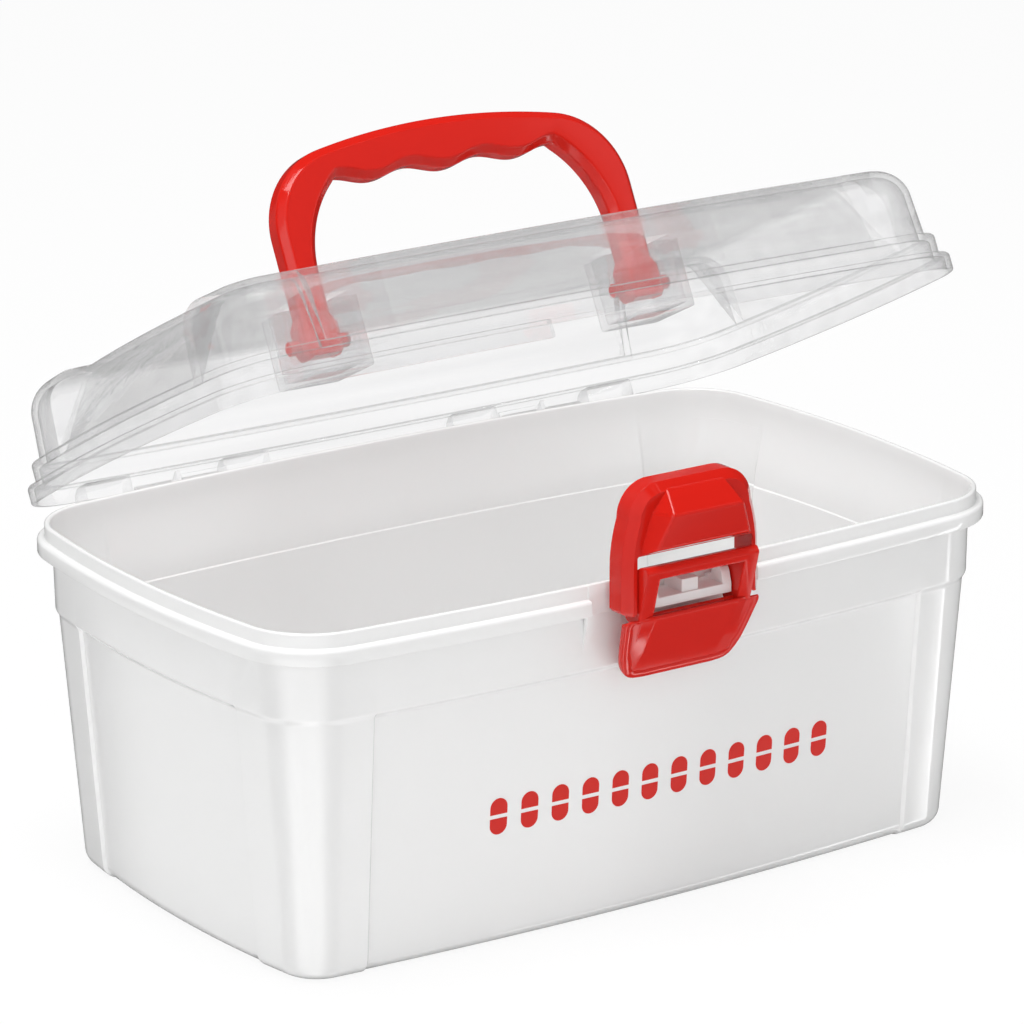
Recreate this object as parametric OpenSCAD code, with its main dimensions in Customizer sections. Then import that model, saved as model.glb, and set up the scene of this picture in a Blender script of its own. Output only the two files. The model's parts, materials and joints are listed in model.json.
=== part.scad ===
// Medicine organizer case: a white tub, a clear hinged lid with a red carrying handle,
// and a red two-piece latch that turns on one rod at the front of the tub.
// The part stands on z = 0 with its length along X. The latch is at the front, -Y.

/* [Tub] */
// Length over the flange, at the middle of the ends
tub_l = 260; // [220:1:320]
// Width over the flange, at the middle of the long sides
tub_w = 159; // [140:1:200]
// Height of the flange's top face
tub_h = 100.3; // [80:0.1:140]
// How far the long sides bow out between their corners
side_bow = 6.8; // [4:0.1:10]
// How far the ends bow out between their corners
end_bow = 8.3; // [5:0.1:11]
// Radius of the flange's corners
corner_r = 24.5; // [18:0.5:32]
// Wall thickness of the tub
tub_wall = 1.9; // [1.4:0.1:3]
// Thickness of the tub's floor
floor_t = 2.2; // [1.6:0.1:4]
// How far the base lies inside the flange's outline
base_inset = 11.6; // [9:0.1:15]
// Radius of the edge round the base
base_r = 4.5; // [2:0.1:8]
// Height of the flange's outer face
flange_h = 4.6; // [3:0.1:7]
// How far the flange stands out from the band below it
flange_out = 4.4; // [3.4:0.1:6]
// Height of the lip that stands up inside the lid
lip_h = 4.2; // [2.5:0.1:5]
// How far the lip lies inside the flange's outline
lip_inset = 2.2; // [1.8:0.1:3]
// Thickness of the lip
lip_t = 1.6; // [1.2:0.1:2]
// Height of the band's lower edge
band_z = 77.6; // [60:0.1:84]
// How far the corner columns step in below the band
band_step = 1.3; // [0.8:0.1:2]
// Depth of the flat panels between the corner columns
panel_d = 1.0; // [0.6:0.1:1.6]
// Half length of the front and rear panels
panel_x = 94.5; // [80:0.5:98]
// Half length of the end panels
panel_y = 42.5; // [34:0.5:46]

/* [Lid] */
// How far the lid stands open
lid_open = 26.5; // [0:0.1:60]
// Wall thickness of the lid
lid_wall = 1.8; // [1.4:0.1:2.4]
// Height of the lid's outer skirt
skirt_h = 5.3; // [4.8:0.1:7]
// How far the lid's band steps in from the skirt
lid_step = 2.8; // [2:0.1:4]
// Height of the lid's band above the skirt
lid_band_h = 6.4; // [5:0.1:9]
// Width of the ledge between the band and the dome
ledge_w = 2.7; // [2:0.1:4]
// Height of the dome above its ledge
dome_h = 22.1; // [16:0.1:30]
// Radius along the top of the corner columns
dome_r = 10; // [6:0.5:14]
// How far the front and rear panels lean in towards the top
front_lean = 7.6; // [4:0.1:14]
// How far the end panels lean in towards the top
end_lean = 14.6; // [8:0.1:20]
// Gap left between the closed lid and the tub
lid_gap = 0.4; // [0.3:0.05:0.8]

/* [Hinges] */
// Distance from the middle of the case to each hinge
hinge_x = 65.5; // [58:0.5:72]
// Length of each hinge's rod between its lugs
rod_l = 33; // [28:0.5:38]
// Width of each lug
lug_w = 16; // [10:0.5:18]
// Radius of the hinge rod
rod_r = 1.7; // [1.3:0.05:2.2]
// How far the hinge axis lies behind the widest part of the flange
hinge_out = 1.7; // [1.4:0.1:3]
// How far the hinge axis lies below the flange's top face
hinge_drop = 0.5; // [0.3:0.1:1.5]
// Wall of the clips that hold the rod
clip_t = 1.5; // [1.2:0.1:2]

/* [Handle] */
// Width over the handle
handle_w = 122.6; // [104:0.2:130]
// Height of the handle's top above the lid
handle_h = 46.5; // [40:0.1:60]
// Thickness of the handle from front to rear
handle_t = 9; // [7:0.1:12]
// Width of the legs
leg_w = 10.1; // [8:0.1:13]
// Depth of the grip below the handle's top
grip_h = 13.8; // [10:0.1:17]
// Height of the waves under the grip
wave_h = 1.2; // [0.6:0.1:2]
// Distance from one wave to the next
wave_pitch = 25; // [22:0.5:28]
// How far the handle stands in front of the lid's middle
handle_y = 2.5; // [0:0.1:6]
// Depth of the pivot pins below the lid's top
pivot_drop = 12.5; // [10:0.1:14]
// Radius of the pivot pins
pivot_r = 2.1; // [1.6:0.1:2.6]
// How far the handle can swing to each side
handle_swing = 18; // [8:1:22]

/* [Latch] */
// Width over the latch hook
hook_w = 46.6; // [42:0.2:52]
// Height of the hook's top above its pivot
hook_h = 34; // [30:0.1:40]
// Depth of the hook from front to rear
hook_d = 8.2; // [7:0.1:9]
// Thickness of the hook's legs
hook_leg_t = 3.7; // [3:0.1:5]
// How far the belly of the hook stands out in front
belly_d = 6.6; // [4:0.1:8]
// How far the lever's pivot lies in front of the tub's lip
latch_out = 5.6; // [5:0.1:7]
// Radius of the latch pivots
latch_r = 1.5; // [1.2:0.1:1.8]
// Length of the lever's shield
shield_h = 22; // [18:0.5:26]
// Half width of the gap that flange and lid leave for the latch
notch_x = 28.6; // [27:0.5:34]

/* [Hidden] */

fit = 0.1;          // running clearance round pins and rods
gap = 0.4;          // clearance between neighbouring moving faces
eps = 0.01;
round_fn = 48;      // facets of the true round features
panel_edge = 0.8;   // width of the slope between a panel and a column, outside
inner_edge = 1.6;   // the same inside
corner_n = 6;       // steps round a corner
side_n = 3;         // steps along half a long panel
end_n = 2;          // steps along half an end panel

// Side arcs of the flange's outline, and the corner arc that touches both
side_r = (pow(tub_l/2, 2) + side_bow*side_bow)/(2*side_bow);
end_r = (pow(tub_w/2, 2) + end_bow*end_bow)/(2*end_bow);
side_c = [0, tub_w/2 - side_r];
end_c = [tub_l/2 - end_r, 0];
centre_gap = norm(end_c - side_c);
along = (pow(side_r - corner_r, 2) - pow(end_r - corner_r, 2) + centre_gap*centre_gap)/(2*centre_gap);
across = sqrt(pow(side_r - corner_r, 2) - along*along);
unit = (end_c - side_c)/centre_gap;
corner_c = side_c + along*unit + across*[unit.y, -unit.x];
side_a = atan2(corner_c.y - side_c.y, corner_c.x - side_c.x);
end_a = atan2(corner_c.y - end_c.y, corner_c.x - end_c.x);

// Stations of a quarter outline: centre, radius, angle, then the shares of the front and
// the end panel, first outside and then inside, where the columns are a wall narrower
quarter = concat(
    [for (i = [0:end_n]) [end_c, end_r, asin(panel_y*i/end_n/end_r), 0, 1, 0, 1]],
    [[end_c, end_r, asin((panel_y + panel_edge)/end_r), 0, 0, 0, 1],
     [end_c, end_r, asin((panel_y + panel_edge + inner_edge)/end_r), 0, 0, 0, 0]],
    [for (i = [0:corner_n]) [corner_c, corner_r, end_a + (side_a - end_a)*i/corner_n, 0, 0, 0, 0]],
    [[side_c, side_r, acos((panel_x + panel_edge + inner_edge)/side_r), 0, 0, 0, 0],
     [side_c, side_r, acos((panel_x + panel_edge)/side_r), 0, 0, 1, 0]],
    [for (i = [0:side_n]) [side_c, side_r, acos(panel_x*(1 - i/side_n)/side_r), 1, 0, 1, 0]]);
last_s = len(quarter) - 1;

// A point of the quarter outline, moved in by inset and further by its panel's depth
function station(s, level, inside) =
    let (r = s[1] - level[1] - s[3 + 2*inside]*level[2] - s[4 + 2*inside]*level[3])
    s[0] + r*[cos(s[2]), sin(s[2])];

// A closed ring at height z: inset of the columns, extra depth of the front and end panels
function ring(level, inside) =
    let (q = [for (s = quarter) station(s, level, inside)])
    concat(
        [for (i = [0:last_s - 1]) [q[i].x, q[i].y, level[0]]],
        [for (i = [last_s:-1:1]) [-q[i].x, q[i].y, level[0]]],
        [for (i = [0:last_s - 1]) [-q[i].x, -q[i].y, level[0]]],
        [for (i = [last_s:-1:1]) [q[i].x, -q[i].y, level[0]]]);

function backwards(list) = [for (i = [len(list) - 1:-1:0]) list[i]];

// All but the first entry of a list
function tail(list) = [for (i = [1:len(list) - 1]) list[i]];

function flipped(list) = [for (p = list) [-p.x, p.y]];

// Y of the flange's outline at x, moved in by inset
function side_y(x, inset = 0) = side_c.y + sqrt(pow(side_r - inset, 2) - x*x);

// A closed end as bands across it, for a ring of n points that is the same on both sides of X
function bands(n) = concat(
    [[0, 1, n - 1]],
    [for (i = [1:n/2 - 2]) [i, i + 1, n - 1 - i, n - i]],
    [[n/2 - 1, n/2, n/2 + 1]]);

// A solid skinned over rings, closed by a flat face at each end
module skin(rings, across = false) {
    n = len(rings[0]);
    last = len(rings) - 1;
    ends = across ? bands(n) : [[for (i = [0:n - 1]) i]];
    polyhedron(
        points = [for (r = rings) each r],
        faces = concat(
            ends,
            [for (k = [0:last - 1], i = [0:n - 1]) [k*n + i, (k + 1)*n + (i + 1)%n, k*n + (i + 1)%n]],
            [for (k = [0:last - 1], i = [0:n - 1]) [k*n + i, (k + 1)*n + i, (k + 1)*n + (i + 1)%n]],
            [for (f = ends) [for (i = [len(f) - 1:-1:0]) last*n + f[i]]]),
        convexity = 8);
}

// Turns children about an axis along X through [y, z]
module turn(axis, angle) {
    translate([0, axis.x, axis.y]) rotate([angle, 0, 0]) translate([0, -axis.x, -axis.y]) children();
}

// A true cylinder along X between two x values
module bar(axis, r, x0, x1) {
    translate([x0, axis.x, axis.y]) rotate([0, 90, 0]) cylinder(r = r, h = x1 - x0, $fn = round_fn);
}

// A side profile in Y and Z, extruded along X between two x values
module side_prism(x0, x1, profile) {
    translate([x0, 0, 0]) rotate([90, 0, 90]) linear_extrude(x1 - x0) polygon(profile);
}

module block(x0, x1, y0, y1, z0, z1) {
    translate([x0, y0, z0]) cube([x1 - x0, y1 - y0, z1 - z0]);
}

module both_sides() {
    children();
    mirror([1, 0, 0]) children();
}

// Tub heights and insets
flange_z = tub_h - flange_h;
column_inset = flange_out + band_step;
lip_z = tub_h + lip_h;
lip_y = -(tub_w/2 - lip_inset);
wall_lean = (base_inset - column_inset)/band_z;
inner_band = flange_out + tub_wall;
floor_r = 3.5;

// Inset of the columns' outer face at height z
function wall_inset(z) = column_inset + (band_z - z)*wall_lean;

tub_outer = concat(
    [for (a = [0:30:60]) [base_r*(1 - cos(a)), wall_inset(0) + base_r*(1 - sin(a)), panel_d, panel_d]],
    [[base_r, wall_inset(base_r), panel_d, panel_d],
     [band_z - 0.6, wall_inset(band_z - 0.6), panel_d, panel_d],
     [band_z, column_inset - 0.3, panel_d, panel_d],
     [band_z + 0.6, flange_out + 0.4, 0, 0],
     [band_z + 1.8, flange_out + 0.1, 0, 0],
     [flange_z, flange_out, 0, 0],
     [flange_z, 0.3, 0, 0],
     [flange_z + 0.4, 0, 0, 0],
     [tub_h - 0.6, 0, 0, 0],
     [tub_h, 0.6, 0, 0],
     [tub_h, lip_inset, 0, 0],
     [lip_z - 0.4, lip_inset, 0, 0],
     [lip_z, lip_inset + 0.4, 0, 0]]);

tub_inner = concat(
    [[lip_z, lip_inset + lip_t - 0.4, 0, 0],
     [lip_z - 0.4, lip_inset + lip_t, 0, 0],
     [flange_z + 2, lip_inset + lip_t, 0, 0],
     [flange_z + 1.2, inner_band, 0, 0],
     [band_z, inner_band, 0, 0],
     [band_z - 1.2, column_inset + tub_wall, panel_d, panel_d]],
    [for (a = [0:45:90]) let (z = floor_t + floor_r*(1 - sin(a)))
        [z, wall_inset(z) + tub_wall + floor_r*(1 - cos(a)), panel_d, panel_d]]);

// Hinge axis, in Y and Z, and the two bearings of a hinge
hinge_axis = [tub_w/2 + hinge_out, tub_h - hinge_drop];
clip_r = rod_r + fit + clip_t;
hinge_x0 = hinge_x - rod_l/2;
hinge_x1 = hinge_x + rod_l/2;
rib_t = 1.6;
clip_back = hinge_axis.x - clip_r - gap;

// Latch pivots, in Y and Z: the lever's on the tub, the hook's on the lever
lever_axis = [lip_y - latch_out, tub_h + 2.4];
hook_axis = lever_axis + [-1.5, -3.3];
arm_x0 = 14.4;              // inner face of the lever's arms
arm_x1 = hook_w/2 - hook_leg_t - gap;
journal_l = 2.9;            // length of a pivot inside its bore

// One clip of the tub round a hinge rod, its mouth open to the rear
module hinge_clip(x0, x1) {
    root = side_y(hinge_x, lip_inset + lip_t/2);
    low = hinge_axis.y - clip_r;
    difference() {
        union() {
            bar(hinge_axis, clip_r, x0, x1);
            side_prism(x0, x1, [[root, low - 2.5], [hinge_axis.x - 0.9, low + 0.3], [hinge_axis.x - 0.8, low + 1.6],
                [hinge_axis.x - clip_r + 0.6, tub_h - 0.3], [root, tub_h - 0.3]]);
        }
        bar(hinge_axis, rod_r + fit, x0 - 1, x1 + 1);
        side_prism(x0 - 1, x1 + 1, concat([hinge_axis],
            [for (a = [-5:25:95]) hinge_axis + 6*[cos(a), sin(a)]]));
    }
}

module tub() color("white") {
    pad_foot = -side_y(notch_x, flange_out) + 0.8;
    difference() {
        union() {
            difference() {
                skin(concat([for (l = tub_outer) ring(l, 0)], [for (l = tub_inner) ring(l, 1)]));
                block(-notch_x, notch_x, -tub_w/2 - 1, lip_y, flange_z - 1, lip_z + 1);
            }
            // the flat pad behind the latch
            side_prism(-notch_x, notch_x, [[lip_y, flange_z + 1], [pad_foot, band_z + 4],
                [pad_foot + 1, band_z + 4], [lip_y + lip_t, tub_h - 5], [lip_y + lip_t, lip_z], [lip_y, lip_z]]);
        }
        // room behind the flange for the lid's lugs
        both_sides()
            block(hinge_x0 - lug_w - 2, hinge_x1 + lug_w + 2, clip_back, hinge_axis.x + 9, flange_z - 1, tub_h + eps);
    }
    both_sides() {
        hinge_clip(hinge_x0 + 2, hinge_x - rib_t/2 - 1);
        hinge_clip(hinge_x + rib_t/2 + 1, hinge_x1 - 2);
    }
}

// The bracket on the pad that carries the lever's pivots
module latch_bracket() color("white") {
    front = lever_axis.x - 3.4;
    back = lip_y - eps;
    both_sides() {
        side_prism(7, arm_x0 - gap, [[back, tub_h - 3.2], [front, tub_h - 3.2], [front, tub_h - 0.4],
            [lever_axis.x - 2.4, lever_axis.y + 0.5], [lever_axis.x - 1.7, lever_axis.y + 1.8],
            [lever_axis.x + 1.7, lever_axis.y + 1.8], [lever_axis.x + 2.4, tub_h + 0.6], [back, tub_h + 0.6]]);
        bar(lever_axis, latch_r, 12, arm_x0 + journal_l);
    }
    block(-8, 8, front, back, tub_h - 3.2, tub_h - 0.3);
    block(-2.85, 2.85, front + 0.6, back, tub_h - 1, tub_h + 3.4);
}

// Lid heights and insets, lid closed
lid_z = tub_h + lid_gap;
skirt_z = lid_z + skirt_h;
ledge_z = skirt_z + lid_band_h;
lid_top = ledge_z + dome_h;
plate_z = lip_z + lid_gap;
dome_inset = lid_step + ledge_w;
skirt_in = lip_inset - 0.5;

// Inset of a leaning panel's face at height z, with its rounded top edge
function lean_inset(z, lean, wall) =
    let (t = max(0, z - (lid_top - wall - 2.5))/2.5)
    dome_inset + 1 + lean*(z - ledge_z)/dome_h + 1.1*wall + 1.8*(1 - sqrt(max(0, 1 - t*t)));

// The dome's ring at angle a of its column radius
function dome_level(a, wall) =
    let (r = dome_r - wall, z = lid_top - dome_r + r*sin(a), c = dome_inset + 0.8 + wall + r*(1 - cos(a)))
    [z, c, lean_inset(z, front_lean, wall) - c, lean_inset(z, end_lean, wall) - c];

lid_inner = concat(
    [for (a = [90:-18:0]) dome_level(a, lid_wall)],
    [[ledge_z - lid_wall, dome_inset + lid_wall, 1, 1],
     [ledge_z - lid_wall, lid_step + lid_wall, 0, 0],
     [plate_z, lid_step + lid_wall, 0, 0],
     [plate_z, skirt_in, 0, 0],
     [lid_z, skirt_in, 0, 0]]);

lid_outer = concat(
    [[lid_z, 0.3, 0, 0],
     [lid_z + 0.4, 0, 0, 0],
     [skirt_z - 0.7, 0, 0, 0],
     [skirt_z, 0.7, 0, 0],
     [skirt_z, lid_step, 0, 0],
     [ledge_z - 0.8, lid_step, 0, 0],
     [ledge_z - 0.2, lid_step + 0.2, 0, 0],
     [ledge_z, lid_step + 0.8, 0, 0],
     [ledge_z, dome_inset, 1, 1]],
    [for (a = [0:15:90]) dome_level(a, 0)]);

// Pockets for the handle's feet
leg_x = handle_w/2;
leg_in = leg_x - leg_w;
pocket_x0 = leg_in - 8;
pocket_x1 = leg_x + 9;
pocket_d = pivot_drop + 8.5;
pocket_t = 1.6;
pocket_end_t = 2.4;
pivot_axis = [-handle_y, lid_top - pivot_drop];
pocket_y = pivot_drop*tan(handle_swing) + handle_t/2/cos(handle_swing) + gap;

// A lug of the lid at the end of a hinge rod
module lug(x0, x1) {
    root = side_y(x0, skirt_in - 0.3);
    bar(hinge_axis, clip_r, x0, x1);
    side_prism(x0, x1, [[root, lid_z + 0.1], [clip_back + gap, lid_z + 0.1],
        [hinge_axis.x - clip_r + 0.1, hinge_axis.y],
        [hinge_axis.x + clip_r - 0.1, hinge_axis.y], [hinge_axis.x + clip_r - 0.3, hinge_axis.y + 2],
        [hinge_axis.x + clip_r - 1.5, hinge_axis.y + 4.2], [hinge_axis.x + clip_r - 3.6, skirt_z - 0.4],
        [root, skirt_z - 0.1]]);
}

module closed_lid() {
    difference() {
        union() {
            difference() {
                skin(concat([for (l = lid_inner) ring(l, 1)], [for (l = lid_outer) ring(l, 0)]), true);
                block(-notch_x, notch_x, -tub_w/2 - 1, -(tub_w/2 - lid_step), lid_z - 1, skirt_z + eps);
            }
            both_sides()
                block(pocket_x0 - pocket_end_t, pocket_x1 + pocket_end_t, pivot_axis.x - pocket_y - pocket_t,
                    pivot_axis.x + pocket_y + pocket_t, lid_top - pocket_d - pocket_t, lid_top - 0.5);
        }
        both_sides() {
            block(pocket_x0, pocket_x1, pivot_axis.x - pocket_y, pivot_axis.x + pocket_y,
                lid_top - pocket_d, lid_top + 1);
            bar(pivot_axis, pivot_r + fit, pocket_x0 - pocket_end_t - 1, pocket_x1 + pocket_end_t + 1);
            block(hinge_x0, hinge_x1, clip_back, hinge_axis.x, lid_z - 1, hinge_axis.y + clip_r + gap);
        }
    }
    both_sides() {
        bar(hinge_axis, rod_r, hinge_x0 - 1, hinge_x1 + 1);
        lug(hinge_x0 - lug_w, hinge_x0);
        lug(hinge_x1, hinge_x1 + lug_w);
        side_prism(hinge_x - rib_t/2, hinge_x + rib_t/2, [[side_y(hinge_x, skirt_in - 0.5), lid_z + 0.1],
            [clip_back + gap, lid_z + 0.1], [clip_back + 0.8, hinge_axis.y - 0.5],
            [hinge_axis.x, hinge_axis.y - rod_r + 0.3], [hinge_axis.x + 1.2, hinge_axis.y],
            [hinge_axis.x, hinge_axis.y + 2.4], [clip_back + 0.5, lid_z + 4], [side_y(hinge_x, skirt_in - 0.5), lid_z + 4]]);
    }
}

module lid() color("#dfe6ea", 0.35) turn(hinge_axis, -lid_open) closed_lid();

// Handle outline, seen from the front with the lid closed
handle_top = lid_top + handle_h;
crown_r = 220;              // radius of the handle's top
bend_r = 24.3;              // radius of its shoulders
crown_c = [0, handle_top - crown_r];
bend_x = leg_x - bend_r;
bend_c = [bend_x, crown_c.y + sqrt(pow(crown_r - bend_r, 2) - bend_x*bend_x)];
bend_a = asin(bend_x/(crown_r - bend_r));
grip_z = handle_top - grip_h;
arch_r = 34.2;              // radius inside the handle's shoulders
arch_c = [leg_in - arch_r, grip_z + 0.8 - 27];
arch_a = asin(27/arch_r);
waves_n = floor((arch_c.x + arch_r*cos(arch_a))*8/wave_pitch - 0.3);
foot_x = 4.6;               // how far a foot stands out from its leg
foot_z = lid_top - pivot_drop + 5;

// Outer and inner edges of half the handle, from a foot up to the middle
function out_half(d) = concat(
    [[leg_x + foot_x - 2, foot_z - 9.5 + d/2], [leg_x + foot_x - d, foot_z - 7.5],
     [leg_x + foot_x - d, foot_z], [leg_x - d, foot_z + 3]],
    [for (i = [8:-1:1]) let (a = bend_a + (90 - bend_a)*i/8) bend_c + (bend_r - d)*[sin(a), cos(a)]],
    [for (i = [waves_n:-1:0]) let (a = bend_a*i/waves_n) crown_c + (crown_r - d)*[sin(a), cos(a)]]);

function in_half(d) = concat(
    [[leg_in - foot_x + 2, foot_z - 9.5 + d/2], [leg_in - foot_x + d, foot_z - 7.5],
     [leg_in - foot_x + d, foot_z], [leg_in + d, foot_z + 3]],
    [for (i = [0:7]) let (a = arch_a*i/7) arch_c + (arch_r + d)*[cos(a), sin(a)]],
    [for (i = [waves_n:-1:0]) let (x = i*wave_pitch/8) [x, grip_z - wave_h*cos(360*x/wave_pitch) + d]]);

handle_bevel = 2.2;
half_t = handle_t/2;
flat_t = half_t - handle_bevel;

// A bevelled section of the handle between an outer and an inner point
function section(out0, out1, in0, in1) = let (y = pivot_axis.x)
    [[in1.x, y - half_t, in1.y], [out1.x, y - half_t, out1.y], [out0.x, y - flat_t, out0.y],
     [out0.x, y + flat_t, out0.y], [out1.x, y + half_t, out1.y], [in1.x, y + half_t, in1.y],
     [in0.x, y + flat_t, in0.y], [in0.x, y - flat_t, in0.y]];

// A path from the right foot over the middle to the left foot
function whole(half) = concat(half, tail(backwards(flipped(half))));

module closed_handle() {
    o0 = whole(out_half(0));
    o1 = whole(out_half(handle_bevel));
    i0 = whole(in_half(0));
    i1 = whole(in_half(handle_bevel));
    skin([for (k = [0:len(o0) - 1]) section(o0[k], o1[k], i0[k], i1[k])]);
    both_sides() bar(pivot_axis, pivot_r, pocket_x0 - pocket_end_t + gap, pocket_x1 + pocket_end_t - gap);
}

module handle() color("#d92a1e") turn(hinge_axis, -lid_open) closed_handle();

// Shield of the lever: a leaning plate, its foot at [y, z], leaning out by shield_a
shield_a = 22.8;
shield_t = 2.4;
shield_x = hook_w/2 - 0.1;
shield_top = hook_axis - [3.7, 4.3];
shield_foot = shield_top + shield_h*[sin(shield_a), -cos(shield_a)];

// A point of the shield at x, s up the plate and h out of its face
function on_shield(x, s, h) = [x, shield_foot.x - s*sin(shield_a) - h*cos(shield_a),
    shield_foot.y + s*cos(shield_a) - h*sin(shield_a)];

function shield_half(d) = [[shield_x - 11, d], [shield_x - 7.2, 0.9 + d], [shield_x - 4.3 - 0.7*d, 3 + 0.7*d],
    [shield_x - 2.8 - d, 5.8], [shield_x - 1.6 - d, 11], [shield_x - d, shield_h - 1.6],
    [shield_x - 0.5 - d, shield_h - 0.4], [shield_x - 1.4 - d, shield_h]];

function shield_ring(h, d) = [for (p = concat(shield_half(d), backwards(flipped(shield_half(d)))))
    on_shield(p.x, p.y, h)];

// Raised finger face of the shield, as side profiles from the plate to the full height
function face_low(x) = [for (p = [[3.5, -1.5], [21.6, -1.5], [22.6, -0.8], [22.6, 0.2], [21.5, 0.3], [4, 0.2]])
    on_shield(x, p[0], p[1])];

function face_high(x) = [for (p = [[2.6, -1.5], [21.8, -1.5], [24.8, 1.2], [27.2, 3.8], [26.6, 5.2], [3.8, 0.4]])
    on_shield(x, p[0], p[1])];

module latch_lever() color("#d92a1e") {
    f = lever_axis.x - 9.5;
    z = lever_axis.y;
    bar_profile = [[f, z + 6.9], [f + 0.6, z + 4.6], [f + 3.9, z + 4.9], [f + 4, z + 8], [f + 1.1, z + 8.5]];
    difference() {
        union() {
            skin([shield_ring(-shield_t, 0), shield_ring(-0.9, 0), shield_ring(0, 1.2)]);
            skin([face_low(-15.6), face_high(-13.2), face_high(13.2), face_low(15.6)]);
            both_sides()
                side_prism(arm_x0, arm_x1, [[f, z + 6.9], [shield_top.x, shield_top.y - 0.5],
                    [shield_top.x + 3, shield_top.y - 3], [lever_axis.x + 1.4, z - 8.5],
                    [lever_axis.x + 2.7, z - 5.2], [lever_axis.x + 2.7, z + 2.2], [lever_axis.x + 2, z + 3.4],
                    [f + 4, z + 8], [f + 1.1, z + 8.5]]);
            side_prism(-arm_x0 - eps, arm_x0 + eps, bar_profile);
        }
        both_sides() {
            bar(lever_axis, latch_r + fit, arm_x0 - 2, arm_x0 + journal_l + 0.3);
            // seats for the rounded ends of the hook's legs
            bar(hook_axis, 5.2, arm_x1, arm_x1 + 8);
        }
    }
    both_sides() bar(hook_axis, latch_r, arm_x1 - 1, arm_x1 + gap + journal_l);
}

// Hook outline, seen from the front
hook_x = hook_w/2;
hook_in = hook_x - hook_leg_t;
hook_top = hook_axis.y + hook_h;
crest_r = 10;
bridge_z = hook_axis.y + 14.3;
leg_z = hook_axis.y - 2.7;
hook_back = hook_axis.x + 4.6;

// Outer and inner edges of half the hook, from a leg's end up to the middle
function hook_out(d) = concat(
    [[hook_x - 0.9 - d/2, leg_z], [hook_x - d, leg_z + 1], [hook_x - d, hook_top - 24],
     [hook_x - 1 - d, hook_top - 17]],
    [for (a = [0:18:90]) [hook_x - 12.3, hook_top - crest_r] + (crest_r - d)*[cos(a), sin(a)]],
    [[0, hook_top - d]]);

hook_inside = concat(
    [[hook_in + 0.7, leg_z], [hook_in, leg_z + 0.8], [hook_in, bridge_z - 0.4], [hook_in - 0.4, bridge_z]],
    [for (i = [1:7]) [(hook_in - 0.4)*(1 - i/7), bridge_z]]);

function hook_section(o, o_front, i) = let (f = hook_back - hook_d)
    [[i.x, f, i.y], [o_front.x, f, o_front.y], [o.x, f + 2.6, o.y], [o.x, hook_back, o.y], [i.x, hook_back, i.y]];

// Half widths of the belly at its foot and its tip, and of the tooth behind
belly_x = hook_in - 0.6;
belly_tip_x = belly_x - 9;
tooth_x = belly_x - 3;

// A level of the hook's belly: height, half width behind and in front, how far it stands out
function belly_ring(z, back, front, out) = let (y = hook_back - hook_d - out)
    [[-back, y + out + 2, z], [-front, y, z], [front, y, z], [back, y + out + 2, z]];

module latch_hook() color("#d92a1e") {
    o = whole(hook_out(0));
    o_front = whole(hook_out(2.4));
    i = whole(hook_inside);
    difference() {
        skin([for (k = [0:len(o) - 1]) hook_section(o[k], o_front[k], i[k])]);
        both_sides() bar(hook_axis, latch_r + fit, hook_in - 2, hook_in + journal_l + 0.3);
    }
    skin([belly_ring(bridge_z + 0.4, belly_x, belly_x - 0.6, 0.6),
        belly_ring(bridge_z + 2.3, belly_x, belly_x - 3.1, belly_d - 2.1),
        belly_ring(hook_top - 7.7, belly_x - 3.5, belly_x - 7, belly_d),
        belly_ring(hook_top - 1.8, belly_tip_x, belly_tip_x, 0.1)]);
    // the tooth that holds the lid's ledge
    side_prism(-tooth_x, tooth_x, [[hook_back - 0.8, bridge_z - 0.1], [hook_back + 2.8, bridge_z - 0.1],
        [hook_back + 2.8, bridge_z + 1], [hook_back - 0.8, bridge_z + 4.6]]);
}

tub();
latch_bracket();
lid();
handle();
latch_lever();
latch_hook();
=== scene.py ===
# %% [markdown]
# # A medicine case with a clear lid
# The case has five mouldings: a white tub, a clear lid, a red handle, and the two
# red halves of a draw latch. The engineering model gives their sizes, joints and
# collision. This notebook makes the surfaces that the eye sees: smooth shells with
# small rounded edges, and plastics with the right gloss. Every length is in
# millimetres until a mesh is made, and then it is in metres.
# %% Load the frame
import json
import math

import bmesh
import bpy
from mathutils import Matrix, Vector


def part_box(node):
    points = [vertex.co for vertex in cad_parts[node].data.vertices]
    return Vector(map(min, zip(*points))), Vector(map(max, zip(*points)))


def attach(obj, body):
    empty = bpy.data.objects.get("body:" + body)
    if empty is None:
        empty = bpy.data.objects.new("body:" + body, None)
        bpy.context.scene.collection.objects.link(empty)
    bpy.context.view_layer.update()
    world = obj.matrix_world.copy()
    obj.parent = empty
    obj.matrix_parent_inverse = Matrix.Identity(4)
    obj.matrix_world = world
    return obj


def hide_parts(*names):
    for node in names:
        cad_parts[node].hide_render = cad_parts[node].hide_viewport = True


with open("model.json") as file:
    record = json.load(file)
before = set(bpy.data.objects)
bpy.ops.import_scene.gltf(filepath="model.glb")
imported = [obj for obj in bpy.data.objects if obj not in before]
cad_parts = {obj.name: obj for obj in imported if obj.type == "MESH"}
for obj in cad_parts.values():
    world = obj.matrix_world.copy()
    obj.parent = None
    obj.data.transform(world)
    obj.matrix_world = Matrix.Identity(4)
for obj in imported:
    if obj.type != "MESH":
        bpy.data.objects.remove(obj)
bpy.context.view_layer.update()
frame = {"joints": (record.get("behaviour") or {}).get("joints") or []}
MM = 0.001
joints = {joint["name"]: joint for joint in frame["joints"]}

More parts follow.
